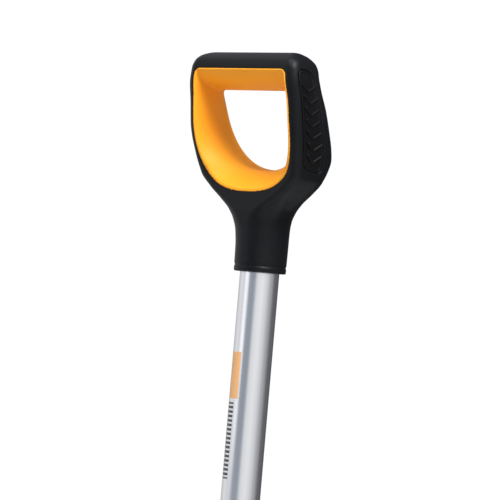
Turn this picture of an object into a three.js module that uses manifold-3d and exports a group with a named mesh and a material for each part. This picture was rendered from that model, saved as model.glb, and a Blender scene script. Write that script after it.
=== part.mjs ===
// Collapsible avalanche shovel: D-grip, two-piece telescoping shaft and a take-apart scoop blade.
// Millimetres, +Z up along the shaft, the scoop opens to the front (-Y), origin at the grip bar's centre.
// Inside shaftFrame every height is measured along the shaft from the lower end of the grip's neck.
import * as THREE from 'three';
import { mergeVertices } from 'three/addons/utils/BufferGeometryUtils.js';
import Module from 'manifold-3d';

// ---------------------------------------------------------------- driving dimensions
const GAP = 0.3;                 // clearance between pieces that touch
const GRIP_LEAD = 24;            // the grip bar's centre lies this far in front of the shaft's axis
const GRIP_HEIGHT = 163.5;       // and this far above the neck's lower end
const GRIP_TOP = 171;            // height of the D-grip
const GRIP_RAKE = THREE.MathUtils.degToRad(11);

const NECK_RADIUS = 20;
const UPPER_RADIUS = 16;         // upper tube, outside
const UPPER_WALL = 1.7;
const UPPER_TOP = 54;            // how far the tube runs up inside the neck
const UPPER_BOTTOM = -296;
const LOWER_RADIUS = 13.5;       // lower tube, outside
const LOWER_WALL = 1.5;
const LOWER_TOP = -212;
const LOWER_BOTTOM = -590;
const LOCK_HEIGHTS = [-40, -142.5, -245];   // lock holes of the upper tube, collapsed to extended
const LOCK_HOLE_RADIUS = 4.5;

const COLLAR = { top: -262, bottom: -305, radius: 19, rivet: -279 };
const BUTTON = { radius: 4, top: 13.4, flangeRadius: 5.5, flangeTop: 4.4, flangeThickness: 1 };
const BLADE_BUTTON_HEIGHT = -545;

const SOCKET = { top: -510, bottom: -632, radius: 17, plateHalf: 30, plateThickness: 5, webHalf: 11 };
const BLADE = { length: 275, thickness: 2, pitch: THREE.MathUtils.degToRad(10), top: -518, lead: 19 };
const RIVET_X = 22;
const RIVET_DOWN = [14, 104];
const RIVET_HOLE_RADIUS = 2.7;

const RING_SIDES = 36;           // sides of every round tube

// Cross-sections of the D-grip: half width, reach to the front and to the back, corner radius.
const GRIP_STATIONS = [
  { height: 0, half: 20, front: 20, back: 20, corner: 20 },
  { height: 32, half: 20, front: 20, back: 20, corner: 20 },
  { height: 42, half: 21.5, front: 21.5, back: 20, corner: 20 },
  { height: 50, half: 26, front: 24.5, back: 19.5, corner: 20 },
  { height: 60, half: 37, front: 30, back: 18.5, corner: 20 },
  { height: 72, half: 51, front: 35, back: 17, corner: 20 },
  { height: 88, half: 59.5, front: 37.5, back: 15, corner: 17 },
  { height: 108, half: 62, front: 38, back: 12.5, corner: 13 },
  { height: 130, half: 62.5, front: 38.5, back: 5.5, corner: 10 },
  { height: 150, half: 62.5, front: 40.5, back: -3.5, corner: 10 },
  { height: 161, half: 61, front: 40, back: -8.5, corner: 9.5 },
  { height: 168, half: 56, front: 37, back: -13, corner: 7.5 },
  { height: GRIP_TOP, half: 46, front: 31, back: -20, corner: 5 },
];

// The hand opening: a straight-topped mouth with a round lower end, waisted halfway through.
const OPENING = { half: 56.5, top: 157, bottom: 59, shoulder: 108, corner: 5 };
const WAIST = { side: 4, top: 9.3, bottom: 23, depth: 0.72 };
const LINER = { edge: 2, middle: 3 };        // wall of the soft liner at its rims and at its waist
const PAD = { low: 82, high: 156, from: 0.23, to: 0.68, depth: 2.2 };

// ---------------------------------------------------------------- boolean engine
const wasm = await Module();
wasm.setup();

/** Turns a closed three.js geometry into a solid that can be joined and cut. */
function solidOf(geometry) {
  const bare = geometry.clone();
  bare.deleteAttribute('normal');
  bare.deleteAttribute('uv');
  const welded = mergeVertices(bare, 1e-4);
  const mesh = new wasm.Mesh({
    numProp: 3,
    vertProperties: new Float32Array(welded.attributes.position.array),
    triVerts: new Uint32Array(welded.index.array),
  });
  return new wasm.Manifold(mesh);
}

/** Turns a solid back into a flat-shaded three.js geometry. */
function geometryOf(solid) {
  const mesh = solid.getMesh();
  const geometry = new THREE.BufferGeometry();
  geometry.setAttribute('position', new THREE.BufferAttribute(mesh.vertProperties, mesh.numProp));
  geometry.setIndex(new THREE.BufferAttribute(mesh.triVerts, 1));
  const flat = geometry.toNonIndexed();
  flat.computeVertexNormals();
  return flat;
}

// ---------------------------------------------------------------- shape helpers
/** Smooth step from 0 at start to 1 at end. */
function ease(value, start, end) {
  return THREE.MathUtils.smoothstep(value, start, end);
}

/** Monotone cubic through the grip's stations, so no section swells past its neighbours. */
function gripSize(key, height) {
  const x = GRIP_STATIONS.map((station) => station.height);
  const y = GRIP_STATIONS.map((station) => station[key]);
  const last = x.length - 1;
  const step = x.slice(1).map((end, i) => end - x[i]);
  const rise = y.slice(1).map((end, i) => (end - y[i]) / step[i]);
  const slope = y.map((_, i) => {
    if (i === 0) return rise[0];
    if (i === last) return rise[last - 1];
    if (rise[i - 1] * rise[i] <= 0) return 0;
    const before = 2 * step[i] + step[i - 1];
    const after = step[i] + 2 * step[i - 1];
    return (before + after) / (before / rise[i - 1] + after / rise[i]);
  });
  let i = 0;
  while (i < last - 1 && height > x[i + 1]) i += 1;
  const u = THREE.MathUtils.clamp((height - x[i]) / step[i], 0, 1);
  const start = y[i] * (1 + 2 * u) * (1 - u) ** 2 + slope[i] * step[i] * u * (1 - u) ** 2;
  const finish = y[i + 1] * u * u * (3 - 2 * u) + slope[i + 1] * step[i] * u * u * (u - 1);
  return start + finish;
}

/** Places a point of the grip: its upper part is raked, so the bar rises towards the front. */
function gripPoint(x, y, height) {
  const rake = Math.tan(GRIP_RAKE) * ease(height, 36, 75);
  return new THREE.Vector3(x, y, height - y * rake);
}

/** Closed solid through rings of points that match one by one, capped at both ends. */
function loft(rings) {
  const count = rings[0].length;
  const points = rings.flat();
  const index = [];
  for (let ring = 0; ring < rings.length - 1; ring += 1) {
    for (let i = 0; i < count; i += 1) {
      const next = (i + 1) % count;
      const a = ring * count + i;
      const b = ring * count + next;
      index.push(a, b, b + count, a, b + count, a + count);
    }
  }
  for (const [start, flip] of [[0, true], [(rings.length - 1) * count, false]]) {
    const centre = new THREE.Vector3();
    for (let i = 0; i < count; i += 1) centre.addScaledVector(points[start + i], 1 / count);
    points.push(centre);
    for (let i = 0; i < count; i += 1) {
      const edge = [start + i, start + (i + 1) % count];
      if (flip) edge.reverse();
      index.push(...edge, points.length - 1);
    }
  }
  const geometry = new THREE.BufferGeometry().setFromPoints(points);
  geometry.setIndex(index);
  const solid = solidOf(geometry);
  if (solid.volume() > 0) return solid;
  geometry.setIndex(index.reverse());
  return solidOf(geometry);
}

/** Turned solid about the shaft's axis from a closed profile of [radius, height] points. */
function turned(profile) {
  const outline = [...profile, profile[0]].map(([radius, height]) => new THREE.Vector2(radius, height));
  const geometry = new THREE.LatheGeometry(outline, RING_SIDES);
  geometry.rotateX(Math.PI / 2);
  const solid = solidOf(geometry);
  if (solid.volume() > 0) return solid;
  geometry.setIndex(Array.from(geometry.index.array).reverse());
  return solidOf(geometry);
}

/** Ring-shaped tube about the shaft's axis. */
function tube(outer, inner, bottom, top) {
  return turned([[inner, bottom], [outer, bottom], [outer, top], [inner, top]]);
}

/** Round bar about the shaft's axis. */
function bar(radius, bottom, top) {
  const geometry = new THREE.CylinderGeometry(radius, radius, top - bottom, RING_SIDES);
  geometry.rotateX(Math.PI / 2);
  geometry.translate(0, 0, (top + bottom) / 2);
  return solidOf(geometry);
}

/** Round bar that points to the back (+Y) at a height on the shaft. */
function crossBar(radius, from, to, height, sides = 20) {
  const geometry = new THREE.CylinderGeometry(radius, radius, to - from, sides);
  geometry.translate(0, (to + from) / 2, height);
  return solidOf(geometry);
}

/** Prism of a side-view outline of [y, z] points, spread evenly to both sides of the middle. */
function sidePrism(outline, halfWidth) {
  const shape = new THREE.Shape(outline.map(([y, z]) => new THREE.Vector2(y, z)));
  const geometry = new THREE.ExtrudeGeometry(shape, { depth: 2 * halfWidth, bevelEnabled: false });
  geometry.translate(0, 0, -halfWidth);
  geometry.rotateY(Math.PI / 2);
  geometry.rotateX(Math.PI / 2);
  return solidOf(geometry);
}

// ---------------------------------------------------------------- D-grip
/** Rounded cross-section of the grip at a height. */
function gripRing(height) {
  const perCorner = 9;
  const half = gripSize('half', height);
  const front = gripSize('front', height);
  const back = gripSize('back', height);
  const corner = Math.min(gripSize('corner', height), half - 0.4, (front + back) / 2 - 0.4);
  const ring = [];
  for (let quarter = 0; quarter < 4; quarter += 1) {
    const side = quarter === 0 || quarter === 3 ? 1 : -1;
    const centreX = side * (half - corner);
    const centreY = quarter < 2 ? back - corner : corner - front;
    for (let i = 0; i <= perCorner; i += 1) {
      const angle = (quarter + i / perCorner) * Math.PI / 2;
      ring.push(gripPoint(centreX + corner * Math.cos(angle), centreY + corner * Math.sin(angle), height));
    }
  }
  return ring;
}

/** Outer shape of the grip, neck and D in one. */
function gripBody() {
  const rings = [gripRing(0)];
  for (let height = 32; height < 162; height += 6.5) rings.push(gripRing(height));
  for (const height of [162, 165.5, 168.5, GRIP_TOP]) rings.push(gripRing(height));
  return loft(rings);
}

/** Outline of the hand opening at a depth from 0 at the front to 1 at the back, grown all round. */
function openingRing(depth, grown) {
  const inside = THREE.MathUtils.clamp(depth, 0, 1);
  const before = THREE.MathUtils.clamp((WAIST.depth - inside) / WAIST.depth, 0, 1);
  const beyond = THREE.MathUtils.clamp((inside - WAIST.depth) / (1 - WAIST.depth), 0, 1);
  const swell = 1 - before ** 1.7;
  const half = OPENING.half - WAIST.side * (1 - ((inside - 0.47) / 0.47) ** 2) + grown;
  const top = OPENING.top - WAIST.top * (swell - 0.18 * beyond ** 2) + grown;
  const bottom = OPENING.bottom + WAIST.bottom * (swell + 0.16 * beyond) - grown;
  const power = 2 / (2.7 - 0.4 * inside);
  const corner = OPENING.corner + grown;
  const outline = [];
  const lowerSteps = 22;
  for (let i = 0; i <= lowerSteps; i += 1) {
    const angle = Math.PI * i / lowerSteps;
    const x = -half * Math.sign(Math.cos(angle)) * Math.abs(Math.cos(angle)) ** power;
    const height = OPENING.shoulder - (OPENING.shoulder - bottom) * Math.abs(Math.sin(angle)) ** power;
    outline.push([x, height]);
  }
  for (const height of [124, 140]) outline.push([half, height]);
  for (const side of [1, -1]) {
    for (let i = 0; i <= 4; i += 1) {
      const angle = (side === 1 ? i : 4 + i) * Math.PI / 8;
      outline.push([side * (half - corner) + corner * Math.cos(angle), top - corner + corner * Math.sin(angle)]);
    }
  }
  for (const height of [140, 124]) outline.push([-half, height]);
  return outline.map(([x, height]) => {
    const front = gripSize('front', height);
    const back = gripSize('back', height);
    return gripPoint(x, -front + (front + back) * depth, height);
  });
}

/** Liner wall at a depth through the opening: thin at both rims. */
function linerWall(depth) {
  const middle = 1 - (2 * THREE.MathUtils.clamp(depth, 0, 1) - 1) ** 4;
  return LINER.edge + (LINER.middle - LINER.edge) * middle;
}

/** Solid plug that fills the hand opening and runs out of both faces, grown by a share of the wall. */
function openingPlug(grow) {
  const depths = [-0.3, 0, 0.12, 0.26, 0.42, 0.58, 0.72, 0.86, 1, 1.35];
  return loft(depths.map((depth) => openingRing(depth, grow(depth))));
}

/** Block that marks out a side pad, following the grip's side; side is +1 or -1. */
function padBlock(side, grown) {
  const rings = [];
  const steps = 10;
  for (let i = 0; i <= steps; i += 1) {
    const share = i / steps;
    const height = PAD.low - grown + (PAD.high - PAD.low + 2 * grown) * share;
    const front = gripSize('front', height);
    const depth = front + gripSize('back', height);
    const pinch = 0.1 * (2 * share - 1) ** 6;
    const from = -front + depth * (PAD.from + pinch) - grown;
    const to = -front + depth * (PAD.to - pinch) + grown;
    const inner = gripSize('half', height) - PAD.depth - grown;
    const corners = [[inner, from], [inner + 12, from], [inner + 12, to], [inner, to]];
    rings.push(corners.map(([x, y]) => gripPoint(side * x, y, height)));
  }
  return loft(rings);
}

// ---------------------------------------------------------------- scoop blade
/** A point of the blade's own frame: across, down along the sheet, and forward from its back face. */
function bladePoint(across, down, forward) {
  const slope = BLADE.pitch;
  const y = -BLADE.lead - down * Math.sin(slope) - forward * Math.cos(slope);
  const z = BLADE.top - down * Math.cos(slope) + forward * Math.sin(slope);
  return new THREE.Vector3(across, y, z);
}

/** Half width of the blade at a share of its length. */
function bladeHalf(share) {
  return 104 + 18 * ease(share, 0, 0.22) - 30 * ease(share, 0.35, 1.15);
}

/** Back face of the sheet at a share across (-1 to 1) and a share down (0 to 1). */
function bladeFace(acrossShare, downShare) {
  const across = acrossShare * bladeHalf(downShare);
  const down = downShare * BLADE.length - 16 * downShare ** 6 * acrossShare ** 2;
  const side = Math.max(0, Math.abs(acrossShare) - 0.36) / 0.64;
  const walls = (34 - 24 * downShare) * side ** 2.2;
  const brow = 16 * ease(side, 0, 0.35) * Math.max(0, 1 - downShare / 0.16) ** 2;
  const length = ease(downShare, 0.3, 0.42) * (1 - ease(downShare, 0.84, 0.95));
  const nearest = Math.min(Math.abs(Math.abs(across) - 54), 11);
  const rib = 4 * length * Math.cos(nearest / 11 * Math.PI / 2) ** 2;
  return bladePoint(across, down, walls + brow + rib);
}

/** Pressed sheet: the back face, and the same face moved forward along its normals. */
function bladeSheet() {
  const columns = 42;
  const rows = 16;
  const back = [];
  const front = [];
  const small = 1e-3;
  for (let row = 0; row <= rows; row += 1) {
    for (let column = 0; column <= columns; column += 1) {
      const across = 2 * column / columns - 1;
      const down = row / rows;
      const point = bladeFace(across, down);
      const toSide = bladeFace(across + small, down).sub(point);
      const toTip = bladeFace(across, down + small).sub(point);
      const normal = toTip.cross(toSide).normalize();
      if (normal.y > 0) normal.negate();
      back.push(point);
      front.push(point.clone().addScaledVector(normal, BLADE.thickness));
    }
  }
  const points = [...back, ...front];
  const layer = back.length;
  const width = columns + 1;
  const index = [];
  const quad = (a, b, c, d) => index.push(a, b, c, a, c, d);
  for (let row = 0; row < rows; row += 1) {
    for (let column = 0; column < columns; column += 1) {
      const a = row * width + column;
      quad(a, a + 1, a + width + 1, a + width);
      quad(layer + a, layer + a + width, layer + a + width + 1, layer + a + 1);
    }
  }
  for (let column = 0; column < columns; column += 1) {
    const low = rows * width + column;
    quad(column, layer + column, layer + column + 1, column + 1);
    quad(low, low + 1, layer + low + 1, layer + low);
  }
  for (let row = 0; row < rows; row += 1) {
    const left = row * width;
    const right = left + columns;
    quad(left, left + width, layer + left + width, layer + left);
    quad(right, layer + right, layer + right + width, right + width);
  }
  const geometry = new THREE.BufferGeometry().setFromPoints(points);
  geometry.setIndex(index);
  const solid = solidOf(geometry);
  if (solid.volume() > 0) return solid;
  geometry.setIndex(index.reverse());
  return solidOf(geometry);
}

/** Turned solid on the blade's normal at a place on the sheet; profile heights run forward. */
function onBlade(profile, across, down) {
  const outline = [...profile, profile[0]].map(([radius, height]) => new THREE.Vector2(radius, height));
  const geometry = new THREE.LatheGeometry(outline, 16);
  geometry.rotateX(Math.PI - BLADE.pitch);
  const place = bladePoint(across, down, 0);
  geometry.translate(place.x, place.y, place.z);
  const solid = solidOf(geometry);
  if (solid.volume() > 0) return solid;
  geometry.setIndex(Array.from(geometry.index.array).reverse());
  return solidOf(geometry);
}

/** Straight drill on the blade's normal. */
function bladeDrill(radius, across, down) {
  return onBlade([[0, -12], [radius, -12], [radius, 12], [0, 12]], across, down);
}

// ---------------------------------------------------------------- small parts
/** Spring button: a pin with a flange that stops it inside the tube. */
function button(height) {
  const flangeBottom = BUTTON.flangeTop - BUTTON.flangeThickness;
  const pin = crossBar(BUTTON.radius, flangeBottom + 0.4, BUTTON.top - 0.8, height, 28);
  const tip = crossBar(BUTTON.radius - 0.8, flangeBottom + 0.4, BUTTON.top, height, 28);
  return pin.add(tip).add(crossBar(BUTTON.flangeRadius, flangeBottom, BUTTON.flangeTop, height, 28));
}

/** Folded leaf spring behind a button: one leg on the tube's front wall, one under the flange. */
function buttonSpring(height) {
  const seat = BUTTON.flangeTop - BUTTON.flangeThickness - GAP;
  const rest = -9.6;
  const leaf = 0.8;
  const bend = height - 30;
  const outline = [
    [rest, height + 12], [rest + leaf, height + 12], [rest + leaf, bend + 3], [seat - leaf, height - 6],
    [seat - leaf, height + 6], [seat, height + 6], [seat, height - 6.3], [rest + 0.6, bend],
    [rest, bend],
  ];
  return sidePrism(outline, 3.5);
}

/** Blind rivet through a tube's back wall, from its inner end to a low head outside the seat. */
function backRivet(height, inner, seat) {
  const shank = crossBar(2.4, inner, seat + 0.6, height, 20);
  const head = crossBar(4.2, seat + GAP, seat + 1.6, height, 20);
  return shank.add(head).add(crossBar(3, seat + GAP, seat + 2.1, height, 20));
}

// ---------------------------------------------------------------- assembly
const finish = {
  blackPlastic: { color: 0x17181b, roughness: 0.5, metalness: 0 },
  amberRubber: { color: 0xf08a1a, roughness: 0.55, metalness: 0 },
  padRubber: { color: 0x0f1012, roughness: 0.75, metalness: 0 },
  anodised: { color: 0xb9bdc2, roughness: 0.32, metalness: 1 },
  bladeSheet: { color: 0xa9aeb4, roughness: 0.4, metalness: 1 },
  greyPlastic: { color: 0x3a3d42, roughness: 0.6, metalness: 0 },
  steel: { color: 0x8d9196, roughness: 0.35, metalness: 1 },
};

const shovel = new THREE.Group();
const shaftFrame = new THREE.Group();
shaftFrame.position.set(0, GRIP_LEAD, -GRIP_HEIGHT);
shovel.add(shaftFrame);

/** Adds one named piece to the shaft's frame. */
function addPiece(name, solid, look) {
  const mesh = new THREE.Mesh(geometryOf(solid), new THREE.MeshStandardMaterial(look));
  mesh.name = name;
  shaftFrame.add(mesh);
}

const upperBore = UPPER_RADIUS - UPPER_WALL;
const lowerBore = LOWER_RADIUS - LOWER_WALL;
const neckRivets = { neck_rivet_upper: 27, neck_rivet_lower: 12 };
const body = gripBody();

/** Black frame: the grip's shape without its opening, the pads' seats, the tube's bore and rivet holes. */
function handleFrame() {
  let frame = body.subtract(openingPlug(linerWall));
  frame = frame.subtract(bar(UPPER_RADIUS + GAP, -5, UPPER_TOP + GAP));
  for (const side of [1, -1]) frame = frame.subtract(padBlock(side, GAP));
  for (const height of Object.values(neckRivets)) frame = frame.subtract(crossBar(RIVET_HOLE_RADIUS, 5, 30, height));
  return frame;
}

/** Upper tube with its lock holes and the holes of its rivets. */
function upperTube() {
  let shell = tube(UPPER_RADIUS, upperBore, UPPER_BOTTOM, UPPER_TOP);
  for (const height of LOCK_HEIGHTS) shell = shell.subtract(crossBar(LOCK_HOLE_RADIUS, 5, 30, height));
  for (const height of Object.values(neckRivets)) shell = shell.subtract(crossBar(RIVET_HOLE_RADIUS, 5, 30, height));
  return shell.subtract(crossBar(RIVET_HOLE_RADIUS, 5, 30, COLLAR.rivet));
}

/** Lower tube with a hole for each button. */
function lowerTube() {
  let shell = tube(LOWER_RADIUS, lowerBore, LOWER_BOTTOM, LOWER_TOP);
  for (const height of [LOCK_HEIGHTS[2], BLADE_BUTTON_HEIGHT]) {
    shell = shell.subtract(crossBar(BUTTON.radius + GAP, 5, 30, height, 28));
  }
  return shell;
}

/** Moulded collar that closes the upper tube's lower end and keeps the wiper. */
function tubeCollar() {
  const inner = UPPER_RADIUS + GAP;
  const lip = LOWER_RADIUS + 0.6;
  const shell = turned([
    [inner, COLLAR.top], [inner, COLLAR.bottom + 2], [lip, COLLAR.bottom + 2], [lip, COLLAR.bottom],
    [COLLAR.radius - 1.5, COLLAR.bottom], [COLLAR.radius, COLLAR.bottom + 1.5],
    [COLLAR.radius, COLLAR.top - 6], [COLLAR.radius - 1.6, COLLAR.top],
  ]);
  return shell.subtract(crossBar(RIVET_HOLE_RADIUS, 5, 30, COLLAR.rivet));
}

/** Socket: a sleeve for the lower tube on a saddle plate that is riveted to the blade's back. */
function bladeSocket() {
  const yz = (down, forward) => {
    const point = bladePoint(0, down, forward);
    return [point.y, point.z];
  };
  const back = -GAP - SOCKET.plateThickness;
  const plate = sidePrism([yz(2, -GAP), yz(118, -GAP), yz(118, back), yz(2, back)], SOCKET.plateHalf);
  const web = sidePrism([yz(6, -GAP - 1), yz(112, -GAP - 1), [0, SOCKET.bottom + 3], [0, SOCKET.top - 12]], SOCKET.webHalf);
  let socket = bar(SOCKET.radius, SOCKET.bottom, SOCKET.top).add(plate).add(web);
  socket = socket.subtract(bar(LOWER_RADIUS + GAP, -594, SOCKET.top + 5));
  socket = socket.subtract(bar(5, SOCKET.bottom - 5, -590));
  socket = socket.subtract(crossBar(LOCK_HOLE_RADIUS, 5, 30, BLADE_BUTTON_HEIGHT));
  for (const across of [RIVET_X, -RIVET_X]) {
    for (const down of RIVET_DOWN) socket = socket.subtract(bladeDrill(RIVET_HOLE_RADIUS + 0.1, across, down));
  }
  return socket;
}

/** Pressed blade with rivet holes and two large holes for an anchor or a sled line. */
function bladePlate() {
  let sheet = bladeSheet();
  for (const across of [RIVET_X, -RIVET_X]) {
    for (const down of RIVET_DOWN) sheet = sheet.subtract(bladeDrill(RIVET_HOLE_RADIUS + 0.1, across, down));
  }
  for (const side of [1, -1]) {
    sheet = sheet.subtract(onBlade([[0, -40], [7, -40], [7, 60], [0, 60]], side * 72, 52));
  }
  return sheet;
}

const opening = openingPlug(() => 0);
const linerOuter = openingPlug((depth) => linerWall(depth) - GAP);

addPiece('handle_frame', handleFrame(), finish.blackPlastic);
addPiece('grip_liner', body.intersect(linerOuter).subtract(opening), finish.amberRubber);
addPiece('side_pad_right', body.intersect(padBlock(1, 0)), finish.padRubber);
addPiece('side_pad_left', body.intersect(padBlock(-1, 0)), finish.padRubber);
addPiece('upper_tube', upperTube(), finish.anodised);
addPiece('tube_plug', tube(upperBore - GAP, 6, UPPER_TOP - 16, UPPER_TOP - 1), finish.greyPlastic);
for (const [name, height] of Object.entries(neckRivets)) {
  addPiece(name, backRivet(height, upperBore - 2, NECK_RADIUS), finish.steel);
}
addPiece('tube_collar', tubeCollar(), finish.blackPlastic);
addPiece('collar_rivet', backRivet(COLLAR.rivet, upperBore + 0.2, COLLAR.radius), finish.steel);
addPiece('collar_wiper', tube(UPPER_RADIUS - 0.2, LOWER_RADIUS + GAP, COLLAR.bottom + 2 + GAP, UPPER_BOTTOM - GAP),
  finish.greyPlastic);

addPiece('lower_tube', lowerTube(), finish.anodised);
addPiece('glide_plug', turned([
  [6, LOWER_TOP - 14], [lowerBore - GAP, LOWER_TOP - 14], [lowerBore - GAP, LOWER_TOP + GAP],
  [upperBore - GAP, LOWER_TOP + GAP], [upperBore - GAP, LOWER_TOP + 9], [6, LOWER_TOP + 9],
]), finish.greyPlastic);
addPiece('tube_foot', turned([
  [3, LOWER_BOTTOM - 3], [LOWER_RADIUS, LOWER_BOTTOM - 3], [LOWER_RADIUS, LOWER_BOTTOM - GAP],
  [lowerBore - GAP, LOWER_BOTTOM - GAP], [lowerBore - GAP, LOWER_BOTTOM + 10], [3, LOWER_BOTTOM + 10],
]), finish.greyPlastic);
addPiece('shaft_button_pin', button(LOCK_HEIGHTS[2]), finish.steel);
addPiece('shaft_button_spring', buttonSpring(LOCK_HEIGHTS[2]), finish.steel);
addPiece('blade_button_pin', button(BLADE_BUTTON_HEIGHT), finish.steel);
addPiece('blade_button_spring', buttonSpring(BLADE_BUTTON_HEIGHT), finish.steel);

addPiece('blade_socket', bladeSocket(), finish.blackPlastic);
addPiece('blade_plate', bladePlate(), finish.bladeSheet);
const rivetTail = -GAP - SOCKET.plateThickness - GAP;
const rivetHead = BLADE.thickness + GAP;
let rivetNumber = 0;
for (const down of RIVET_DOWN) {
  for (const across of [RIVET_X, -RIVET_X]) {
    rivetNumber += 1;
    addPiece(`socket_rivet_${rivetNumber}`, onBlade([
      [0, rivetTail - 1.2], [3.6, rivetTail - 1.2], [4, rivetTail], [2.5, rivetTail], [2.5, rivetHead],
      [5.5, rivetHead], [4.8, rivetHead + 1.2], [2.6, rivetHead + 2], [0, rivetHead + 2.2],
    ], across, down), finish.steel);
  }
}

export default shovel;
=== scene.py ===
"""Looks of a collapsible avalanche shovel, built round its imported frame.

Blender units are metres, in the frame's own axes: +Z runs up the shaft to the grip and the scoop opens
to -Y.
Shapes are worked out in millimetres in the shaft's frame, whose heights start at the lower end of the grip's
neck, on the shaft's axis, and ShaftDatum puts them in place.
"""

from __future__ import annotations

import logging
import math
from dataclasses import dataclass, field
from enum import Enum
from typing import Callable, Sequence

import bmesh
import bpy
import numpy as np
from mathutils import Matrix, Vector


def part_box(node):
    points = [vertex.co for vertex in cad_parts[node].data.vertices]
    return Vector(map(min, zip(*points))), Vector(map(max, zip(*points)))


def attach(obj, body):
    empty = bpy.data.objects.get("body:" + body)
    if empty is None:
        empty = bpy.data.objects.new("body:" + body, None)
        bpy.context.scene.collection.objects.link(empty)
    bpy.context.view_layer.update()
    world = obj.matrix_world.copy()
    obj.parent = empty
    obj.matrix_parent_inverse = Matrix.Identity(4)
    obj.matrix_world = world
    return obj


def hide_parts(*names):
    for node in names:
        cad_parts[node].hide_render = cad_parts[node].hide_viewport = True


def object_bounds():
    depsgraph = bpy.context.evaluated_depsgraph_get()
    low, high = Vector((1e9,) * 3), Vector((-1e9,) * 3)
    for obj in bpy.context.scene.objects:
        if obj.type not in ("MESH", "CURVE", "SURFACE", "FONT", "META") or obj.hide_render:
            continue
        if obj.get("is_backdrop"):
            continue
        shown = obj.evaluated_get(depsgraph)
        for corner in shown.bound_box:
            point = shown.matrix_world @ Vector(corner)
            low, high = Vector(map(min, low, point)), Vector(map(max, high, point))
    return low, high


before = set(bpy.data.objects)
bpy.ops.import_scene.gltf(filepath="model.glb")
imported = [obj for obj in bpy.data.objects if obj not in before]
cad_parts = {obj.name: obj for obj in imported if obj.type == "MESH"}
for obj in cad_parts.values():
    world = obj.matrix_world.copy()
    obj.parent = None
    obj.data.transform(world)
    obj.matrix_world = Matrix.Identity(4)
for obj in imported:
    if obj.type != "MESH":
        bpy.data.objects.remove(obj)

log = logging.getLogger("shovel")

MM = 0.001
GAP = 0.3
IMAGE_SIDE = 500

Field = Callable[[np.ndarray, np.ndarray, np.ndarray], np.ndarray]
Profile = Sequence[tuple[float, float]]


class Body(Enum):
    """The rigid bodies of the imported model."""

    HANDLE = "handle"
    LOWER_SHAFT = "lower_shaft"
    SHAFT_BUTTON = "shaft_button"
    BLADE_BUTTON = "blade_button"
    BLADE = "blade"


class Slot(Enum):
    """The record's material slots."""

    BLACK_PLASTIC = "black_plastic"
    AMBER_RUBBER = "amber_rubber"
    PAD_RUBBER = "pad_rubber"
    TUBE = "anodised_tube"
    BLADE = "blade_aluminium"
    GREY_PLASTIC = "grey_plastic"
    STEEL = "steel"


# ------------------------------------------------------------------------------------ places


@dataclass(frozen=True)
class ShaftDatum:
    """Where the shaft's own heights start: on its axis, at the lower end of the neck."""

    axis_y: float
    neck_z: float

    @classmethod
    def from_frame(cls) -> ShaftDatum:
        """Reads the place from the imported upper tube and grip."""
        low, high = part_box("upper_tube")
        return cls(axis_y=(low[1] + high[1]) / 2, neck_z=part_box("handle_frame")[0][2])

    def place(self, points: np.ndarray) -> np.ndarray:
        """Turns shaft-frame millimetres into row-frame metres."""
        return np.asarray(points, float) * MM + np.array([0.0, self.axis_y, self.neck_z])


DATUM = ShaftDatum.from_frame()


# ------------------------------------------------------------------------------------ mesh tools


def mesh_object(name: str, points: np.ndarray, faces: Sequence[Sequence[int]]) -> bpy.types.Object:
    """Makes a smooth-shaded object from shaft-frame points.

    Args:
        name: The piece's name.
        points: Vertices in shaft-frame millimetres.
        faces: Vertex numbers of each face.

    Returns:
        The new object, linked to the scene.
    """
    mesh = bpy.data.meshes.new(name)
    mesh.from_pydata(DATUM.place(points).tolist(), [], [list(face) for face in faces])
    mesh.update()
    obj = bpy.data.objects.new(name, mesh)
    bpy.context.scene.collection.objects.link(obj)
    return obj


def tidy_mesh(
    obj: bpy.types.Object, sharp_degrees: float | None = 35.0, outward: bool = True
) -> bpy.types.Object:
    """Merges doubles, turns faces outwards and shades smooth, with sharp edges past an angle.

    Args:
        obj: The piece.
        sharp_degrees: Angle past which an edge stays sharp, or None for none.
        outward: Whether the normals are worked out again.

    Returns:
        The same piece.
    """
    work = bmesh.new()
    work.from_mesh(obj.data)
    bmesh.ops.remove_doubles(work, verts=work.verts, dist=2e-6)
    bmesh.ops.dissolve_degenerate(work, edges=work.edges, dist=1e-7)
    if outward:
        bmesh.ops.recalc_face_normals(work, faces=work.faces)
    for face in work.faces:
        face.smooth = True
    if sharp_degrees is not None:
        limit = math.radians(sharp_degrees)
        for edge in work.edges:
            if len(edge.link_faces) == 2 and edge.calc_face_angle() > limit:
                edge.smooth = False
    work.to_mesh(obj.data)
    work.free()
    return obj


def settle(obj: bpy.types.Object) -> bpy.types.Object:
    """Applies a piece's modifiers and leaves a plain mesh."""
    graph = bpy.context.evaluated_depsgraph_get()
    made = bpy.data.meshes.new_from_object(obj.evaluated_get(graph))
    old = obj.data
    obj.modifiers.clear()
    obj.data = made
    if isinstance(old, bpy.types.Mesh):
        bpy.data.meshes.remove(old)
    return obj


def cut(obj: bpy.types.Object, cutters: Sequence[bpy.types.Object]) -> bpy.types.Object:
    """Cuts pieces out of another, then throws the cutters away."""
    for cutter in cutters:
        modifier = obj.modifiers.new("cut", "BOOLEAN")
        modifier.operation = "DIFFERENCE"
        modifier.solver = "EXACT"
        modifier.object = cutter
        settle(obj)
        bpy.data.objects.remove(cutter)
    return obj


def joined(objects: Sequence[bpy.types.Object], name: str) -> bpy.types.Object:
    """Joins pieces of one finish into one object."""
    work = bmesh.new()
    for obj in objects:
        work.from_mesh(obj.data)
    mesh = bpy.data.meshes.new(name)
    work.to_mesh(mesh)
    work.free()
    for obj in objects:
        bpy.data.objects.remove(obj)
    result = bpy.data.objects.new(name, mesh)
    bpy.context.scene.collection.objects.link(result)
    return result


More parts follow.
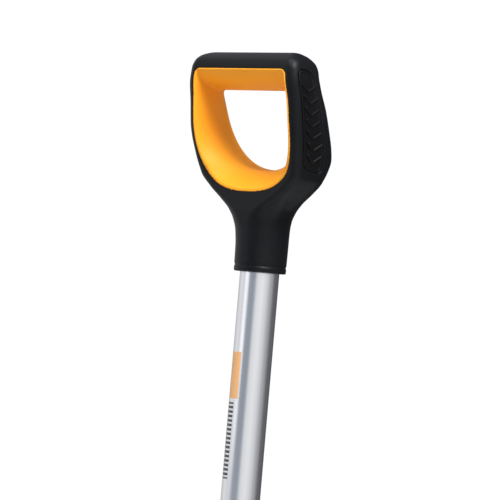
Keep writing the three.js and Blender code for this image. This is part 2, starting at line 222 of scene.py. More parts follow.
def rounded(profile: Profile, radius: float, steps: int = 4) -> list[tuple[float, float]]:
    """Rounds every corner of a closed profile, except those on the axis.

    Args:
        profile: Corners as (radius, height).
        radius: Fillet radius in millimetres.
        steps: Segments of each fillet.

    Returns:
        The profile with its fillets.
    """
    corners = [np.array(corner, float) for corner in profile]
    result: list[tuple[float, float]] = []
    for i, corner in enumerate(corners):
        before, after = corners[i - 1], corners[(i + 1) % len(corners)]
        if corner[0] < 1e-6:
            result.append((0.0, float(corner[1])))
            continue
        to_before, to_after = before - corner, after - corner
        reach = min(radius, 0.45 * np.linalg.norm(to_before), 0.45 * np.linalg.norm(to_after))
        start = corner + to_before / np.linalg.norm(to_before) * reach
        end = corner + to_after / np.linalg.norm(to_after) * reach
        for step in range(steps + 1):
            t = step / steps
            point = start * (1 - t) ** 2 + corner * 2 * t * (1 - t) + end * t**2
            result.append((max(float(point[0]), 0.0), float(point[1])))
    return result


@dataclass
class Turned:
    """A part turned about an axis from a closed profile of (radius, height) corners."""

    profile: Profile
    fillet: float = 0.4
    segments: int = 96

    def build(self, name: str, move: Callable[[np.ndarray], np.ndarray] | None = None) -> bpy.types.Object:
        """Makes the part.

        Args:
            name: The piece's name.
            move: Places points that stand on +Z; left out, they stay on the shaft's axis.

        Returns:
            The turned object.
        """
        outline = np.array(rounded(self.profile, self.fillet))
        angles = np.linspace(0, 2 * math.pi, self.segments, endpoint=False)
        radius, height = outline[:, 0][None, :], outline[:, 1][None, :]
        x = radius * np.cos(angles)[:, None]
        y = radius * np.sin(angles)[:, None]
        points = np.stack([x, y, np.broadcast_to(height, x.shape)], axis=-1).reshape(-1, 3)
        count = len(outline)
        faces = [
            (
                ring * count + i,
                ((ring + 1) % self.segments) * count + i,
                ((ring + 1) % self.segments) * count + (i + 1) % count,
                ring * count + (i + 1) % count,
            )
            for ring in range(self.segments)
            for i in range(count)
        ]
        if move is not None:
            points = move(points)
        return tidy_mesh(mesh_object(name, points, faces))


def towards_back(height: float) -> Callable[[np.ndarray], np.ndarray]:
    """Lays a turned part across the shaft at a height, with its own +Z to the back."""
    return lambda points: np.stack([points[:, 0], points[:, 2], height - points[:, 1]], axis=1)


# ------------------------------------------------------------------------------------ smooth fields


def smooth_max(a: np.ndarray, b: np.ndarray, radius: float) -> np.ndarray:
    """Keeps the overlap of two fields, with its edges rounded."""
    overlap = np.maximum(radius - np.abs(a - b), 0.0)
    return np.maximum(a, b) + overlap * overlap / (4 * radius)


def smooth_min(a: np.ndarray, b: np.ndarray, radius: float) -> np.ndarray:
    """Joins two fields with a fillet between them."""
    return -smooth_max(-a, -b, radius)


def ease(value: np.ndarray, start: float, end: float) -> np.ndarray:
    """Smooth step from 0 at start to 1 at end."""
    u = np.clip((value - start) / (end - start), 0.0, 1.0)
    return u * u * (3 - 2 * u)


def round_rect(across: np.ndarray, along: np.ndarray, half: tuple, corner: float) -> np.ndarray:
    """Distance to a rectangle with round corners; half holds its two half sizes."""
    qa = np.abs(across) - (half[0] - corner)
    qb = np.abs(along) - (half[1] - corner)
    outside = np.hypot(np.maximum(qa, 0.0), np.maximum(qb, 0.0))
    return outside + np.minimum(np.maximum(qa, qb), 0.0) - corner


@dataclass
class FieldSurface:
    """A closed skin on the zero of a field in shaft-frame millimetres, negative inside."""

    shape: Field
    low: tuple[float, float, float]
    high: tuple[float, float, float]
    step: float
    refinements: int = 4

    def _samples(self) -> np.ndarray:
        """The field on a regular grid."""
        axes = [np.arange(a, b + self.step, self.step) for a, b in zip(self.low, self.high)]
        x, y, z = axes[0][:, None, None], axes[1][None, :, None], axes[2][None, None, :]
        return np.ascontiguousarray(np.broadcast_to(self.shape(x, y, z), tuple(len(a) for a in axes)))

    def _net(self, grid: np.ndarray) -> tuple[np.ndarray, np.ndarray]:
        """One vertex in each cell that the skin crosses, and one quad on each edge that it crosses."""
        cells = tuple(size - 1 for size in grid.shape)
        total = np.zeros((*cells, 3))
        hits = np.zeros(cells)
        crossings = []
        for axis in range(3):
            first = [slice(None)] * 3
            second = [slice(None)] * 3
            first[axis], second[axis] = slice(0, -1), slice(1, None)
            a, b = grid[tuple(first)], grid[tuple(second)]
            crossed = (a < 0) != (b < 0)
            index = np.argwhere(crossed)
            point = index.astype(float)
            point[:, axis] += a[crossed] / (a[crossed] - b[crossed])
            others = [k for k in range(3) if k != axis]
            for du in (0, 1):
                for dv in (0, 1):
                    cell = index.copy()
                    cell[:, others[0]] -= du
                    cell[:, others[1]] -= dv
                    inside = ((cell >= 0) & (cell < np.array(cells))).all(axis=1)
                    chosen = tuple(cell[inside].T)
                    np.add.at(total, chosen, point[inside])
                    np.add.at(hits, chosen, 1)
            crossings.append((axis, others, index, a[crossed] < 0))
        used = hits > 0
        number = -np.ones(cells, np.int64)
        number[used] = np.arange(used.sum())
        points = total[used] / hits[used][:, None] * self.step + np.array(self.low)
        quads = []
        for axis, others, index, starts_inside in crossings:
            inner = np.ones(len(index), bool)
            for k in others:
                inner &= (index[:, k] > 0) & (index[:, k] < grid.shape[k] - 1)
            index, starts_inside = index[inner], starts_inside[inner]
            corners = []
            for du, dv in ((1, 1), (0, 1), (0, 0), (1, 0)):
                cell = index.copy()
                cell[:, others[0]] -= du
                cell[:, others[1]] -= dv
                corners.append(number[tuple(cell.T)])
            quad = np.stack(corners, axis=1)
            keep = starts_inside if axis != 1 else ~starts_inside
            quad[~keep] = quad[~keep][:, ::-1]
            quads.append(quad)
        return points, np.concatenate(quads)

    def _gradient(self, points: np.ndarray) -> np.ndarray:
        """Slope of the field at each point."""
        reach = 0.05
        slopes = []
        for axis in range(3):
            shift = np.zeros(3)
            shift[axis] = reach
            ahead, behind = (points + shift).T, (points - shift).T
            slopes.append((self.shape(*ahead) - self.shape(*behind)) / (2 * reach))
        return np.stack(slopes, axis=1)

    def build(self, name: str) -> bpy.types.Object:
        """Makes the skin and draws its vertices onto the field's zero."""
        points, quads = self._net(self._samples())
        for _ in range(self.refinements):
            slope = self._gradient(points)
            steepness = np.maximum((slope**2).sum(axis=1), 0.05)
            move = -(self.shape(*points.T) / steepness)[:, None] * slope
            length = np.linalg.norm(move, axis=1, keepdims=True)
            points = points + move * np.minimum(1.0, 0.4 * self.step / np.maximum(length, 1e-9))
        obj = mesh_object(name, points, quads.tolist())
        return tidy_mesh(obj, sharp_degrees=None, outward=False)


# ------------------------------------------------------------------------------------ geometry nodes


class NodeBench:
    """Builds one Geometry Nodes tree with named inputs and runs it on an object."""

    def __init__(self, name: str) -> None:
        """Starts a tree with a geometry input and output."""
        self.tree = bpy.data.node_groups.new(name, "GeometryNodeTree")
        self.tree.interface.new_socket("Geometry", in_out="INPUT", socket_type="NodeSocketGeometry")
        self.tree.interface.new_socket("Geometry", in_out="OUTPUT", socket_type="NodeSocketGeometry")
        self.start = self.tree.nodes.new("NodeGroupInput")
        self.end = self.tree.nodes.new("NodeGroupOutput")
        self.values: dict[str, object] = {}

    def size(self, name: str, kind: str, value: object) -> bpy.types.NodeSocket:
        """Adds a named input with the value that this run gives it.

        Args:
            name: The input's name.
            kind: The socket type.
            value: The value to set on the modifier.

        Returns:
            The socket that the tree reads it from.
        """
        socket = self.tree.interface.new_socket(name, in_out="INPUT", socket_type=kind)
        self.values[socket.identifier] = value
        return self.start.outputs[name]

    def node(self, kind: str, **settings: object) -> bpy.types.Node:
        """Adds a node and sets its properties."""
        made = self.tree.nodes.new(kind)
        for key, value in settings.items():
            setattr(made, key, value)
        return made

    def link(self, source: bpy.types.NodeSocket, target: bpy.types.NodeSocket) -> None:
        """Joins two sockets."""
        self.tree.links.new(source, target)

    def finish(self, geometry: bpy.types.NodeSocket, material: bpy.types.Material) -> None:
        """Ends the tree in Realize Instances and Set Material."""
        realize = self.node("GeometryNodeRealizeInstances")
        dress = self.node("GeometryNodeSetMaterial")
        self.link(geometry, realize.inputs["Geometry"])
        self.link(realize.outputs["Geometry"], dress.inputs["Geometry"])
        self.link(self.size("Material", "NodeSocketMaterial", material), dress.inputs["Material"])
        self.link(dress.outputs["Geometry"], self.end.inputs["Geometry"])

    def run(self, obj: bpy.types.Object) -> bpy.types.Object:
        """Applies the tree to an object and leaves a plain mesh.

        Args:
            obj: The object that carries the tree while it runs.

        Returns:
            The same object with the tree's result.
        """
        modifier = obj.modifiers.new(self.tree.name, "NODES")
        modifier.node_group = self.tree
        for identifier, value in self.values.items():
            modifier[identifier] = value
        settle(obj)
        bpy.data.node_groups.remove(self.tree)
        return obj


def copies_on_points(
    name: str,
    places: np.ndarray,
    turns: np.ndarray,
    pattern: bpy.types.Object,
    material: bpy.types.Material,
) -> bpy.types.Object:
    """Sets a copy of a small part on each place, turned as asked, with Geometry Nodes.

    Args:
        name: The piece's name.
        places: Shaft-frame places in millimetres.
        turns: Turns of each copy as X, Y and Z angles.
        pattern: The small part, in metres about its own zero; it is removed afterwards.
        material: The finish of the copies.

    Returns:
        One object with all copies.
    """
    mesh = bpy.data.meshes.new(name)
    mesh.from_pydata(DATUM.place(places).tolist(), [], [])
    angles = mesh.attributes.new("turn", "FLOAT_VECTOR", "POINT")
    angles.data.foreach_set("vector", np.asarray(turns, np.float32).ravel())
    obj = bpy.data.objects.new(name, mesh)
    bpy.context.scene.collection.objects.link(obj)

    bench = NodeBench(f"{name}_copies")
    info = bench.node("GeometryNodeObjectInfo", transform_space="ORIGINAL")
    bench.link(bench.size("Pattern", "NodeSocketObject", pattern), info.inputs["Object"])
    turn = bench.node("GeometryNodeInputNamedAttribute", data_type="FLOAT_VECTOR")
    turn.inputs["Name"].default_value = "turn"
    to_rotation = bench.node("FunctionNodeEulerToRotation")
    bench.link(turn.outputs["Attribute"], to_rotation.inputs["Euler"])
    points = bench.node("GeometryNodeMeshToPoints")
    bench.link(bench.start.outputs["Geometry"], points.inputs["Mesh"])
    copies = bench.node("GeometryNodeInstanceOnPoints")
    bench.link(points.outputs["Points"], copies.inputs["Points"])
    bench.link(info.outputs["Geometry"], copies.inputs["Instance"])
    bench.link(to_rotation.outputs["Rotation"], copies.inputs["Rotation"])
    bench.link(bench.size("Scale", "NodeSocketFloat", 1.0), copies.inputs["Scale"])
    bench.finish(copies.outputs["Instances"], material)
    bench.run(obj)
    bpy.data.objects.remove(pattern)
    return obj


# ------------------------------------------------------------------------------------ shader tools


class ShaderBench:
    """Builds a material round one Principled BSDF."""

    def __init__(self, name: str) -> None:
        """Starts the material with its shader and Object coordinates."""
        self.material = bpy.data.materials.new(name)
        self.material.use_nodes = True
        self.tree = self.material.node_tree
        self.shader = self.tree.nodes["Principled BSDF"]
        self.coordinates = self.node("ShaderNodeTexCoord").outputs["Object"]

    def node(self, kind: str, **settings: object) -> bpy.types.Node:
        """Adds a node and sets its properties."""
        made = self.tree.nodes.new(kind)
        for key, value in settings.items():
            setattr(made, key, value)
        return made

    def link(self, source: bpy.types.NodeSocket, target: bpy.types.NodeSocket) -> None:
        """Joins two sockets."""
        self.tree.links.new(source, target)

    def set(self, **values: object) -> None:
        """Sets the shader's own sockets; underscores stand for spaces."""
        for key, value in values.items():
            self.shader.inputs[key.replace("_", " ")].default_value = value

    def group(self, tree: bpy.types.NodeTree, **values: object) -> bpy.types.Node:
        """Places a shared effect that reads Object coordinates, with its own values."""
        made = self.node("ShaderNodeGroup", node_tree=tree)
        self.link(self.coordinates, made.inputs["Position"])
        for key, value in values.items():
            made.inputs[key.replace("_", " ")].default_value = value
        return made

    def mix(self, mask: bpy.types.NodeSocket, first: object, second: object) -> bpy.types.NodeSocket:
        """Mixes two colours by a mask.

        Args:
            mask: Share of the second colour.
            first: A colour, or the socket of one.
            second: A colour, or the socket of one.

        Returns:
            The mixed colour's socket.
        """
        made = self.node("ShaderNodeMix", data_type="RGBA")
        self.link(mask, made.inputs["Factor"])
        for name, value in (("A", first), ("B", second)):
            socket = next(s for s in made.inputs if s.name == name and s.type == "RGBA")
            if isinstance(value, bpy.types.NodeSocket):
                self.link(value, socket)
            else:
                socket.default_value = (*value, 1.0)
        return next(s for s in made.outputs if s.type == "RGBA")

    def span(
        self, value: bpy.types.NodeSocket, low: float, high: float, into: tuple[float, float]
    ) -> bpy.types.NodeSocket:
        """Maps a value from low..high into another range, clamped."""
        made = self.node("ShaderNodeMapRange")
        self.link(value, made.inputs["Value"])
        for key, number in zip(("From Min", "From Max", "To Min", "To Max"), (low, high, *into)):
            made.inputs[key].default_value = number
        return made.outputs["Result"]

    def bump(self, height: bpy.types.NodeSocket, distance: float, strength: float = 1.0) -> None:
        """Feeds a height to the shader's normal, after any bump that is there."""
        made = self.node("ShaderNodeBump")
        made.inputs["Distance"].default_value = distance
        made.inputs["Strength"].default_value = strength
        self.link(height, made.inputs["Height"])
        normal = self.shader.inputs["Normal"]
        if normal.is_linked:
            self.link(normal.links[0].from_socket, made.inputs["Normal"])
        self.link(made.outputs["Normal"], normal)


def effect_group(name: str, inputs: dict[str, float], outputs: Sequence[str]) -> bpy.types.NodeTree:
    """Starts a shared shader effect with a Position input, number inputs and value outputs.

    Args:
        name: The group's name.
        inputs: Names and defaults of its number inputs.
        outputs: Names of its outputs.

    Returns:
        The empty group.
    """
    tree = bpy.data.node_groups.new(name, "ShaderNodeTree")
    tree.interface.new_socket("Position", in_out="INPUT", socket_type="NodeSocketVector")
    for key, value in inputs.items():
        tree.interface.new_socket(key, in_out="INPUT", socket_type="NodeSocketFloat").default_value = value
    for key in outputs:
        tree.interface.new_socket(key, in_out="OUTPUT", socket_type="NodeSocketFloat")
    tree.nodes.new("NodeGroupInput")
    tree.nodes.new("NodeGroupOutput")
    return tree


def noise_in(
    tree: bpy.types.NodeTree, scale: object, detail: float, position: bpy.types.NodeSocket
) -> bpy.types.Node:
    """Adds a noise texture to a group, with a fixed scale or one that is linked."""
    noise = tree.nodes.new("ShaderNodeTexNoise")
    noise.inputs["Detail"].default_value = detail
    tree.links.new(position, noise.inputs["Vector"])
    if isinstance(scale, bpy.types.NodeSocket):
        tree.links.new(scale, noise.inputs["Scale"])
    else:
        noise.inputs["Scale"].default_value = scale
    return noise


@dataclass
class SharedEffects:
    """Shader groups that several finishes use."""

    grain: bpy.types.NodeTree = field(init=False)
    handling: bpy.types.NodeTree = field(init=False)
    drawn: bpy.types.NodeTree = field(init=False)
    scuffs: bpy.types.NodeTree = field(init=False)

    def __post_init__(self) -> None:
        """Builds each group once."""
        self.grain = self._moulded_grain()
        self.handling = self._handling_film()
        self.drawn = self._drawn_lines()
        self.scuffs = self._scuffs()

    @staticmethod
    def _moulded_grain() -> bpy.types.NodeTree:
        """Fine leathery grain of a spark-eroded mould."""
        tree = effect_group("MouldedGrain", {"Scale": 2200.0}, ["Height"])
        start, end = tree.nodes["Group Input"], tree.nodes["Group Output"]
        cells = tree.nodes.new("ShaderNodeTexVoronoi")
        tree.links.new(start.outputs["Position"], cells.inputs["Vector"])
        tree.links.new(start.outputs["Scale"], cells.inputs["Scale"])
        noise = noise_in(tree, start.outputs["Scale"], 3.0, start.outputs["Position"])
        blend = tree.nodes.new("ShaderNodeMath")
        blend.operation = "MULTIPLY_ADD"
        blend.inputs[1].default_value = 0.5
        tree.links.new(cells.outputs["Distance"], blend.inputs[0])
        tree.links.new(noise.outputs["Fac"], blend.inputs[2])
        tree.links.new(blend.outputs[0], end.inputs["Height"])
        return tree

    @staticmethod
    def _handling_film() -> bpy.types.NodeTree:
        """Uneven film that hands leave: broad patches broken up by finer ones."""
        tree = effect_group("HandlingFilm", {"Scale": 28.0}, ["Mask"])
        start, end = tree.nodes["Group Input"], tree.nodes["Group Output"]
        broad = noise_in(tree, start.outputs["Scale"], 4.0, start.outputs["Position"])
        fine = noise_in(tree, 420.0, 2.0, start.outputs["Position"])
        blend = tree.nodes.new("ShaderNodeMath")
        blend.operation = "MULTIPLY_ADD"
        blend.inputs[1].default_value = 0.3
        tree.links.new(fine.outputs["Fac"], blend.inputs[0])
        tree.links.new(broad.outputs["Fac"], blend.inputs[2])
        limits = tree.nodes.new("ShaderNodeMapRange")
        limits.inputs["From Min"].default_value = 0.45
        limits.inputs["From Max"].default_value = 0.85
        tree.links.new(blend.outputs[0], limits.inputs["Value"])
        tree.links.new(limits.outputs["Result"], end.inputs["Mask"])
        return tree

    @staticmethod
    def _drawn_lines() -> bpy.types.NodeTree:
        """Long fine lines along +Z, as a die leaves on a drawn tube."""
        tree = effect_group("DrawnLines", {"Across": 1400.0, "Along": 9.0}, ["Height", "Mask"])
        start, end = tree.nodes["Group Input"], tree.nodes["Group Output"]
        stretch = tree.nodes.new("ShaderNodeCombineXYZ")
        for axis, key in (("X", "Across"), ("Y", "Across"), ("Z", "Along")):
            tree.links.new(start.outputs[key], stretch.inputs[axis])
        scaled = tree.nodes.new("ShaderNodeVectorMath")
        scaled.operation = "MULTIPLY"
        tree.links.new(start.outputs["Position"], scaled.inputs[0])
        tree.links.new(stretch.outputs["Vector"], scaled.inputs[1])
        noise = noise_in(tree, 1.0, 3.0, scaled.outputs["Vector"])
        tree.links.new(noise.outputs["Fac"], end.inputs["Height"])
        limits = tree.nodes.new("ShaderNodeMapRange")
        limits.inputs["From Min"].default_value = 0.55
        limits.inputs["From Max"].default_value = 0.75
        tree.links.new(noise.outputs["Fac"], limits.inputs["Value"])
        tree.links.new(limits.outputs["Result"], end.inputs["Mask"])
        return tree

    @staticmethod
    def _scuffs() -> bpy.types.NodeTree:
        """Sparse short scratches: thin ridges of a warped noise, kept only in patches."""
        tree = effect_group("Scuffs", {"Scale": 160.0, "Amount": 0.5}, ["Mask"])
        start, end = tree.nodes["Group Input"], tree.nodes["Group Output"]
        lines = noise_in(tree, start.outputs["Scale"], 2.0, start.outputs["Position"])
        lines.inputs["Distortion"].default_value = 1.6
        centred = tree.nodes.new("ShaderNodeMath")
        centred.operation = "SUBTRACT"
        centred.inputs[1].default_value = 0.5
        tree.links.new(lines.outputs["Fac"], centred.inputs[0])
        width = tree.nodes.new("ShaderNodeMath")
        width.operation = "ABSOLUTE"
        tree.links.new(centred.outputs[0], width.inputs[0])
        thin = tree.nodes.new("ShaderNodeMapRange")
        for key, number in zip(("From Min", "From Max", "To Min", "To Max"), (0.0, 0.012, 1.0, 0.0)):
            thin.inputs[key].default_value = number
        tree.links.new(width.outputs[0], thin.inputs["Value"])
        patches = noise_in(tree, 45.0, 2.0, start.outputs["Position"])
        kept = tree.nodes.new("ShaderNodeMapRange")
        kept.inputs["From Min"].default_value = 0.52
        kept.inputs["From Max"].default_value = 0.62
        tree.links.new(patches.outputs["Fac"], kept.inputs["Value"])
        both = tree.nodes.new("ShaderNodeMath")
        both.operation = "MULTIPLY"
        tree.links.new(thin.outputs["Result"], both.inputs[0])
        tree.links.new(kept.outputs["Result"], both.inputs[1])
        amount = tree.nodes.new("ShaderNodeMath")
        amount.operation = "MULTIPLY"
        tree.links.new(both.outputs[0], amount.inputs[0])
        tree.links.new(start.outputs["Amount"], amount.inputs[1])
        tree.links.new(amount.outputs[0], end.inputs["Mask"])
        return tree


# ------------------------------------------------------------------------------------ finishes


@dataclass(frozen=True)
class MouldedFinish:
    """A moulded plastic or rubber with mould grain, a handling film and light scuffs."""

    name: str
    colour: tuple[float, float, float]
    worn: tuple[float, float, float]
    roughness: tuple[float, float]
    grain_scale: float
    grain_depth: float
    scuffs: float = 0.3
    coat: float = 0.0
    glow: float = 0.0
    gloss: float = 0.5

    def build(self, effects: SharedEffects) -> bpy.types.Material:
        """Makes the material."""
        bench = ShaderBench(self.name)
        film = bench.group(effects.handling, Scale=26.0).outputs["Mask"]
        scuff = bench.group(effects.scuffs, Scale=150.0, Amount=self.scuffs).outputs["Mask"]
        grain = bench.group(effects.grain, Scale=self.grain_scale).outputs["Height"]
        tinted = bench.mix(bench.span(film, 0.0, 1.0, (0.0, 0.35)), self.colour, self.worn)
        bench.link(bench.mix(scuff, tinted, self.worn), bench.shader.inputs["Base Color"])
        bench.link(bench.span(film, 0.0, 1.0, self.roughness), bench.shader.inputs["Roughness"])
        bench.bump(grain, self.grain_depth, 0.6)
        bench.bump(scuff, -0.00002, 0.5)
        bench.set(Specular_IOR_Level=self.gloss)
        if self.coat:
            bench.set(Coat_Weight=self.coat, Coat_Roughness=0.3)
        if self.glow:
            bench.set(Subsurface_Weight=self.glow, Subsurface_Scale=0.003)
            bench.shader.inputs["Subsurface Radius"].default_value = (1.0, 0.35, 0.1)
        return bench.material


@dataclass(frozen=True)
class MetalFinish:
    """A metal with its working marks and a handling film."""

    name: str
    colour: tuple[float, float, float]
    dull: tuple[float, float, float]
    roughness: tuple[float, float]
    line_depth: float = 0.0
    blast_depth: float = 0.0
    scuffs: float = 0.4

    def bench(self, effects: SharedEffects) -> ShaderBench:
        """Builds the metal's nodes."""
        bench = ShaderBench(self.name)
        bench.set(Metallic=1.0)
        film = bench.group(effects.handling, Scale=16.0).outputs["Mask"]
        scuff = bench.group(effects.scuffs, Scale=110.0, Amount=self.scuffs).outputs["Mask"]
        colour = bench.mix(bench.span(film, 0.0, 1.0, (0.0, 0.4)), self.colour, self.dull)
        bench.link(bench.mix(scuff, colour, self.dull), bench.shader.inputs["Base Color"])
        bench.link(bench.span(film, 0.0, 1.0, self.roughness), bench.shader.inputs["Roughness"])
        if self.line_depth:
            lines = bench.group(effects.drawn, Across=1300.0, Along=7.0).outputs["Height"]
            bench.bump(lines, self.line_depth, 0.5)
        if self.blast_depth:
            bench.bump(bench.group(effects.grain, Scale=3400.0).outputs["Height"], self.blast_depth, 0.5)
        bench.bump(scuff, -0.00001, 0.6)
        return bench

    def build(self, effects: SharedEffects) -> bpy.types.Material:
        """Makes the material."""
        return self.bench(effects).material


@dataclass(frozen=True)
class PrintedTubeFinish(MetalFinish):
    """Anodised tube with a plain colour block and rows of height ticks printed on it; the block's orange ink
    is paled to paint the glare on it.
    """

    # Orange print ink, paled to paint glare over the print.
    ink_with_painted_glare: tuple[float, float, float] = (0.82, 0.43, 0.17)
    tick_ink: tuple[float, float, float] = (0.03, 0.032, 0.036)
    block: tuple[float, float] = (-103.0, -65.0)
    ticks: tuple[float, float] = (-168.0, -106.0)
    tick_pitch: float = 3.6
    centre_degrees: float = -110.0
    half_degrees: float = 30.0

    def build(self, effects: SharedEffects) -> bpy.types.Material:
        """Makes the material; the print's places come from heights on the shaft."""
        bench = self.bench(effects)
        angle, height = self._around(bench)
        block = self._window(bench, angle, height, self.half_degrees, self.block)
        row = self._window(bench, angle, height, self.half_degrees * 0.55, self.ticks)
        stripes = bench.node("ShaderNodeMath", operation="PINGPONG")
        stripes.inputs[1].default_value = self.tick_pitch / 2 * MM
        bench.link(height, stripes.inputs[0])
        tick = bench.span(stripes.outputs[0], 0.001, 0.00115, (1.0, 0.0))
        both = bench.node("ShaderNodeMath", operation="MULTIPLY")
        bench.link(row, both.inputs[0])
        bench.link(tick, both.inputs[1])
        bare = bench.shader.inputs["Base Color"].links[0].from_socket
        # The block's paled ink paints glare over the real orange print.
        inked_with_painted_glare = bench.mix(both.outputs[0], bench.mix(block, bare, self.ink_with_painted_glare), self.tick_ink)
        bench.link(inked_with_painted_glare, bench.shader.inputs["Base Color"])
        printed = bench.node("ShaderNodeMath", operation="MAXIMUM")
        bench.link(block, printed.inputs[0])
        bench.link(both.outputs[0], printed.inputs[1])
        bench.link(bench.span(printed.outputs[0], 0.0, 1.0, (1.0, 0.0)), bench.shader.inputs["Metallic"])
        bench.bump(printed.outputs[0], 0.00003, 0.7)
        return bench.material

    @staticmethod
    def _around(bench: ShaderBench) -> tuple[bpy.types.NodeSocket, bpy.types.NodeSocket]:
        """Angle round the shaft's axis in radians, and height, which is zero at the row's origin."""
        centred = bench.node("ShaderNodeMapping")
        centred.inputs["Location"].default_value = (0.0, -DATUM.axis_y, 0.0)
        bench.link(bench.coordinates, centred.inputs["Vector"])
        parts = bench.node("ShaderNodeSeparateXYZ")
        bench.link(centred.outputs["Vector"], parts.inputs["Vector"])
        angle = bench.node("ShaderNodeMath", operation="ARCTAN2")
        bench.link(parts.outputs["Y"], angle.inputs[0])
        bench.link(parts.outputs["X"], angle.inputs[1])
        return angle.outputs[0], parts.outputs["Z"]

    def _window(
        self,
        bench: ShaderBench,
        angle: bpy.types.NodeSocket,
        height: bpy.types.NodeSocket,
        half_degrees: float,
        span: tuple[float, float],
    ) -> bpy.types.NodeSocket:
        """Mask of a patch on the tube.

        Args:
            bench: The material's bench.
            angle: Angle socket.
            height: Height socket.
            half_degrees: Half the patch's width.
            span: Lower and upper end as shaft heights.

        Returns:
            A mask that is 1 on the patch.
        """
        masks = []
        low, high = (value * MM + DATUM.neck_z for value in span)
        centres = ((angle, math.radians(self.centre_degrees), math.radians(half_degrees), 0.012),
                   (height, (low + high) / 2, (high - low) / 2, 0.0002))
        for value, centre, half, soft in centres:
            away = bench.node("ShaderNodeMath", operation="SUBTRACT")
            away.inputs[1].default_value = centre
            bench.link(value, away.inputs[0])
            distance = bench.node("ShaderNodeMath", operation="ABSOLUTE")
            bench.link(away.outputs[0], distance.inputs[0])
            masks.append(bench.span(distance.outputs[0], half - soft, half, (1.0, 0.0)))
        product = bench.node("ShaderNodeMath", operation="MULTIPLY")
        bench.link(masks[0], product.inputs[0])
        bench.link(masks[1], product.inputs[1])
        return product.outputs[0]


CHARCOAL = MouldedFinish(
    "charcoal_nylon", (0.0035, 0.004, 0.0052), (0.011, 0.0115, 0.013), (0.34, 0.44),
    2600.0, 0.00003, gloss=0.15,
)
AMBER = MouldedFinish(
    "amber_liner", (0.97, 0.37, 0.012), (0.97, 0.41, 0.025), (0.5, 0.62),
    2000.0, 0.00002, glow=0.1, gloss=0.3,
)
PAD = MouldedFinish(
    "side_pad_rubber", (0.0025, 0.0025, 0.003), (0.008, 0.008, 0.009), (0.42, 0.55),
    1800.0, 0.00004, gloss=0.14,
)
ACETAL = MouldedFinish(
    "grey_acetal", (0.05, 0.053, 0.058), (0.09, 0.09, 0.095), (0.4, 0.55), 2600.0, 0.00002
)
TUBE = MetalFinish(
    "lower_tube_anodised", (0.6, 0.62, 0.65), (0.54, 0.56, 0.59), (0.23, 0.28), line_depth=0.000004
)
PRINTED_TUBE = PrintedTubeFinish(
    "upper_tube_anodised", (0.78, 0.79, 0.81), (0.74, 0.75, 0.77), (0.21, 0.26), 0.000004
)
SHEET = MetalFinish(
    "blade_sheet", (0.4, 0.415, 0.44), (0.3, 0.31, 0.33), (0.42, 0.54), blast_depth=0.00003, scuffs=0.7
)
STEEL = MetalFinish(
    "satin_steel", (0.5, 0.5, 0.51), (0.4, 0.4, 0.41), (0.28, 0.4), scuffs=0.5
)


@dataclass
class Wardrobe:
    """Every finish, built once."""

    effects: SharedEffects = field(default_factory=SharedEffects)
    made: dict[str, bpy.types.Material] = field(default_factory=dict)

    def __getitem__(self, finish: MouldedFinish | MetalFinish) -> bpy.types.Material:
        """The finish's material."""
        if finish.name not in self.made:
            self.made[finish.name] = finish.build(self.effects)
        return self.made[finish.name]


def dress(obj: bpy.types.Object, material: bpy.types.Material) -> bpy.types.Object:
    """Gives a piece one material."""
    obj.data.materials.clear()
    obj.data.materials.append(material)
    return obj


def fit(obj: bpy.types.Object, body: Body, slot: Slot, *nodes: str) -> bpy.types.Object:
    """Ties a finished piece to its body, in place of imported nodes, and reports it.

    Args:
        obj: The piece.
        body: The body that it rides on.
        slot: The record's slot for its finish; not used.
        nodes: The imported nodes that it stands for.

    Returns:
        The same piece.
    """
    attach(obj, body.value)
    if nodes:
        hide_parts(*nodes)
    log.info("%s: %d faces, on %s", obj.name, len(obj.data.polygons), body.value)
    return obj


# ------------------------------------------------------------------------------------ D-grip


@dataclass(frozen=True)
class GripStation:
    """One cross-section of the grip: half width, reach to front and back, and both corner radii."""

    height: float
    half: float
    front: float
    back: float
    corner: float
    heel: float


GRIP_STATIONS = (
    GripStation(-10, 21.1, 21.1, 21.1, 21.1, 21.1),
    GripStation(20, 21.5, 21.5, 21.1, 21.3, 21.1),
    GripStation(34, 22.1, 22.6, 20.2, 21.0, 20.2),
    GripStation(42, 23.4, 24.0, 19.5, 19.8, 19.5),
    GripStation(50, 27.3, 24.7, 18.8, 17.0, 18.5),
    GripStation(58, 34.8, 24.3, 17.2, 11.0, 17.0),
    GripStation(66, 45.3, 24.3, 15.4, 8.0, 15.4),
    GripStation(76, 55.8, 25.4, 13.6, 7.0, 13.2),
    GripStation(84, 58.3, 28.4, 13.2, 7.0, 9.0),
    GripStation(92, 60.0, 31.4, 13.4, 7.5, 7.0),
    GripStation(100, 61.6, 34.0, 11.3, 8.0, 6.0),
    GripStation(110, 62.6, 36.6, 7.8, 9.0, 6.0),
    GripStation(130, 62.8, 39.8, 0.2, 10.0, 6.0),
    GripStation(147, 61.6, 43.0, -7.2, 10.0, 6.0),
    GripStation(154, 60.4, 43.0, -8.8, 9.5, 6.0),
    GripStation(160, 59.0, 41.4, -9.4, 9.0, 5.5),
    GripStation(165, 56.6, 37.4, -10.4, 8.0, 5.0),
    GripStation(171, 49.5, 28.0, -14.5, 6.0, 4.0),
)


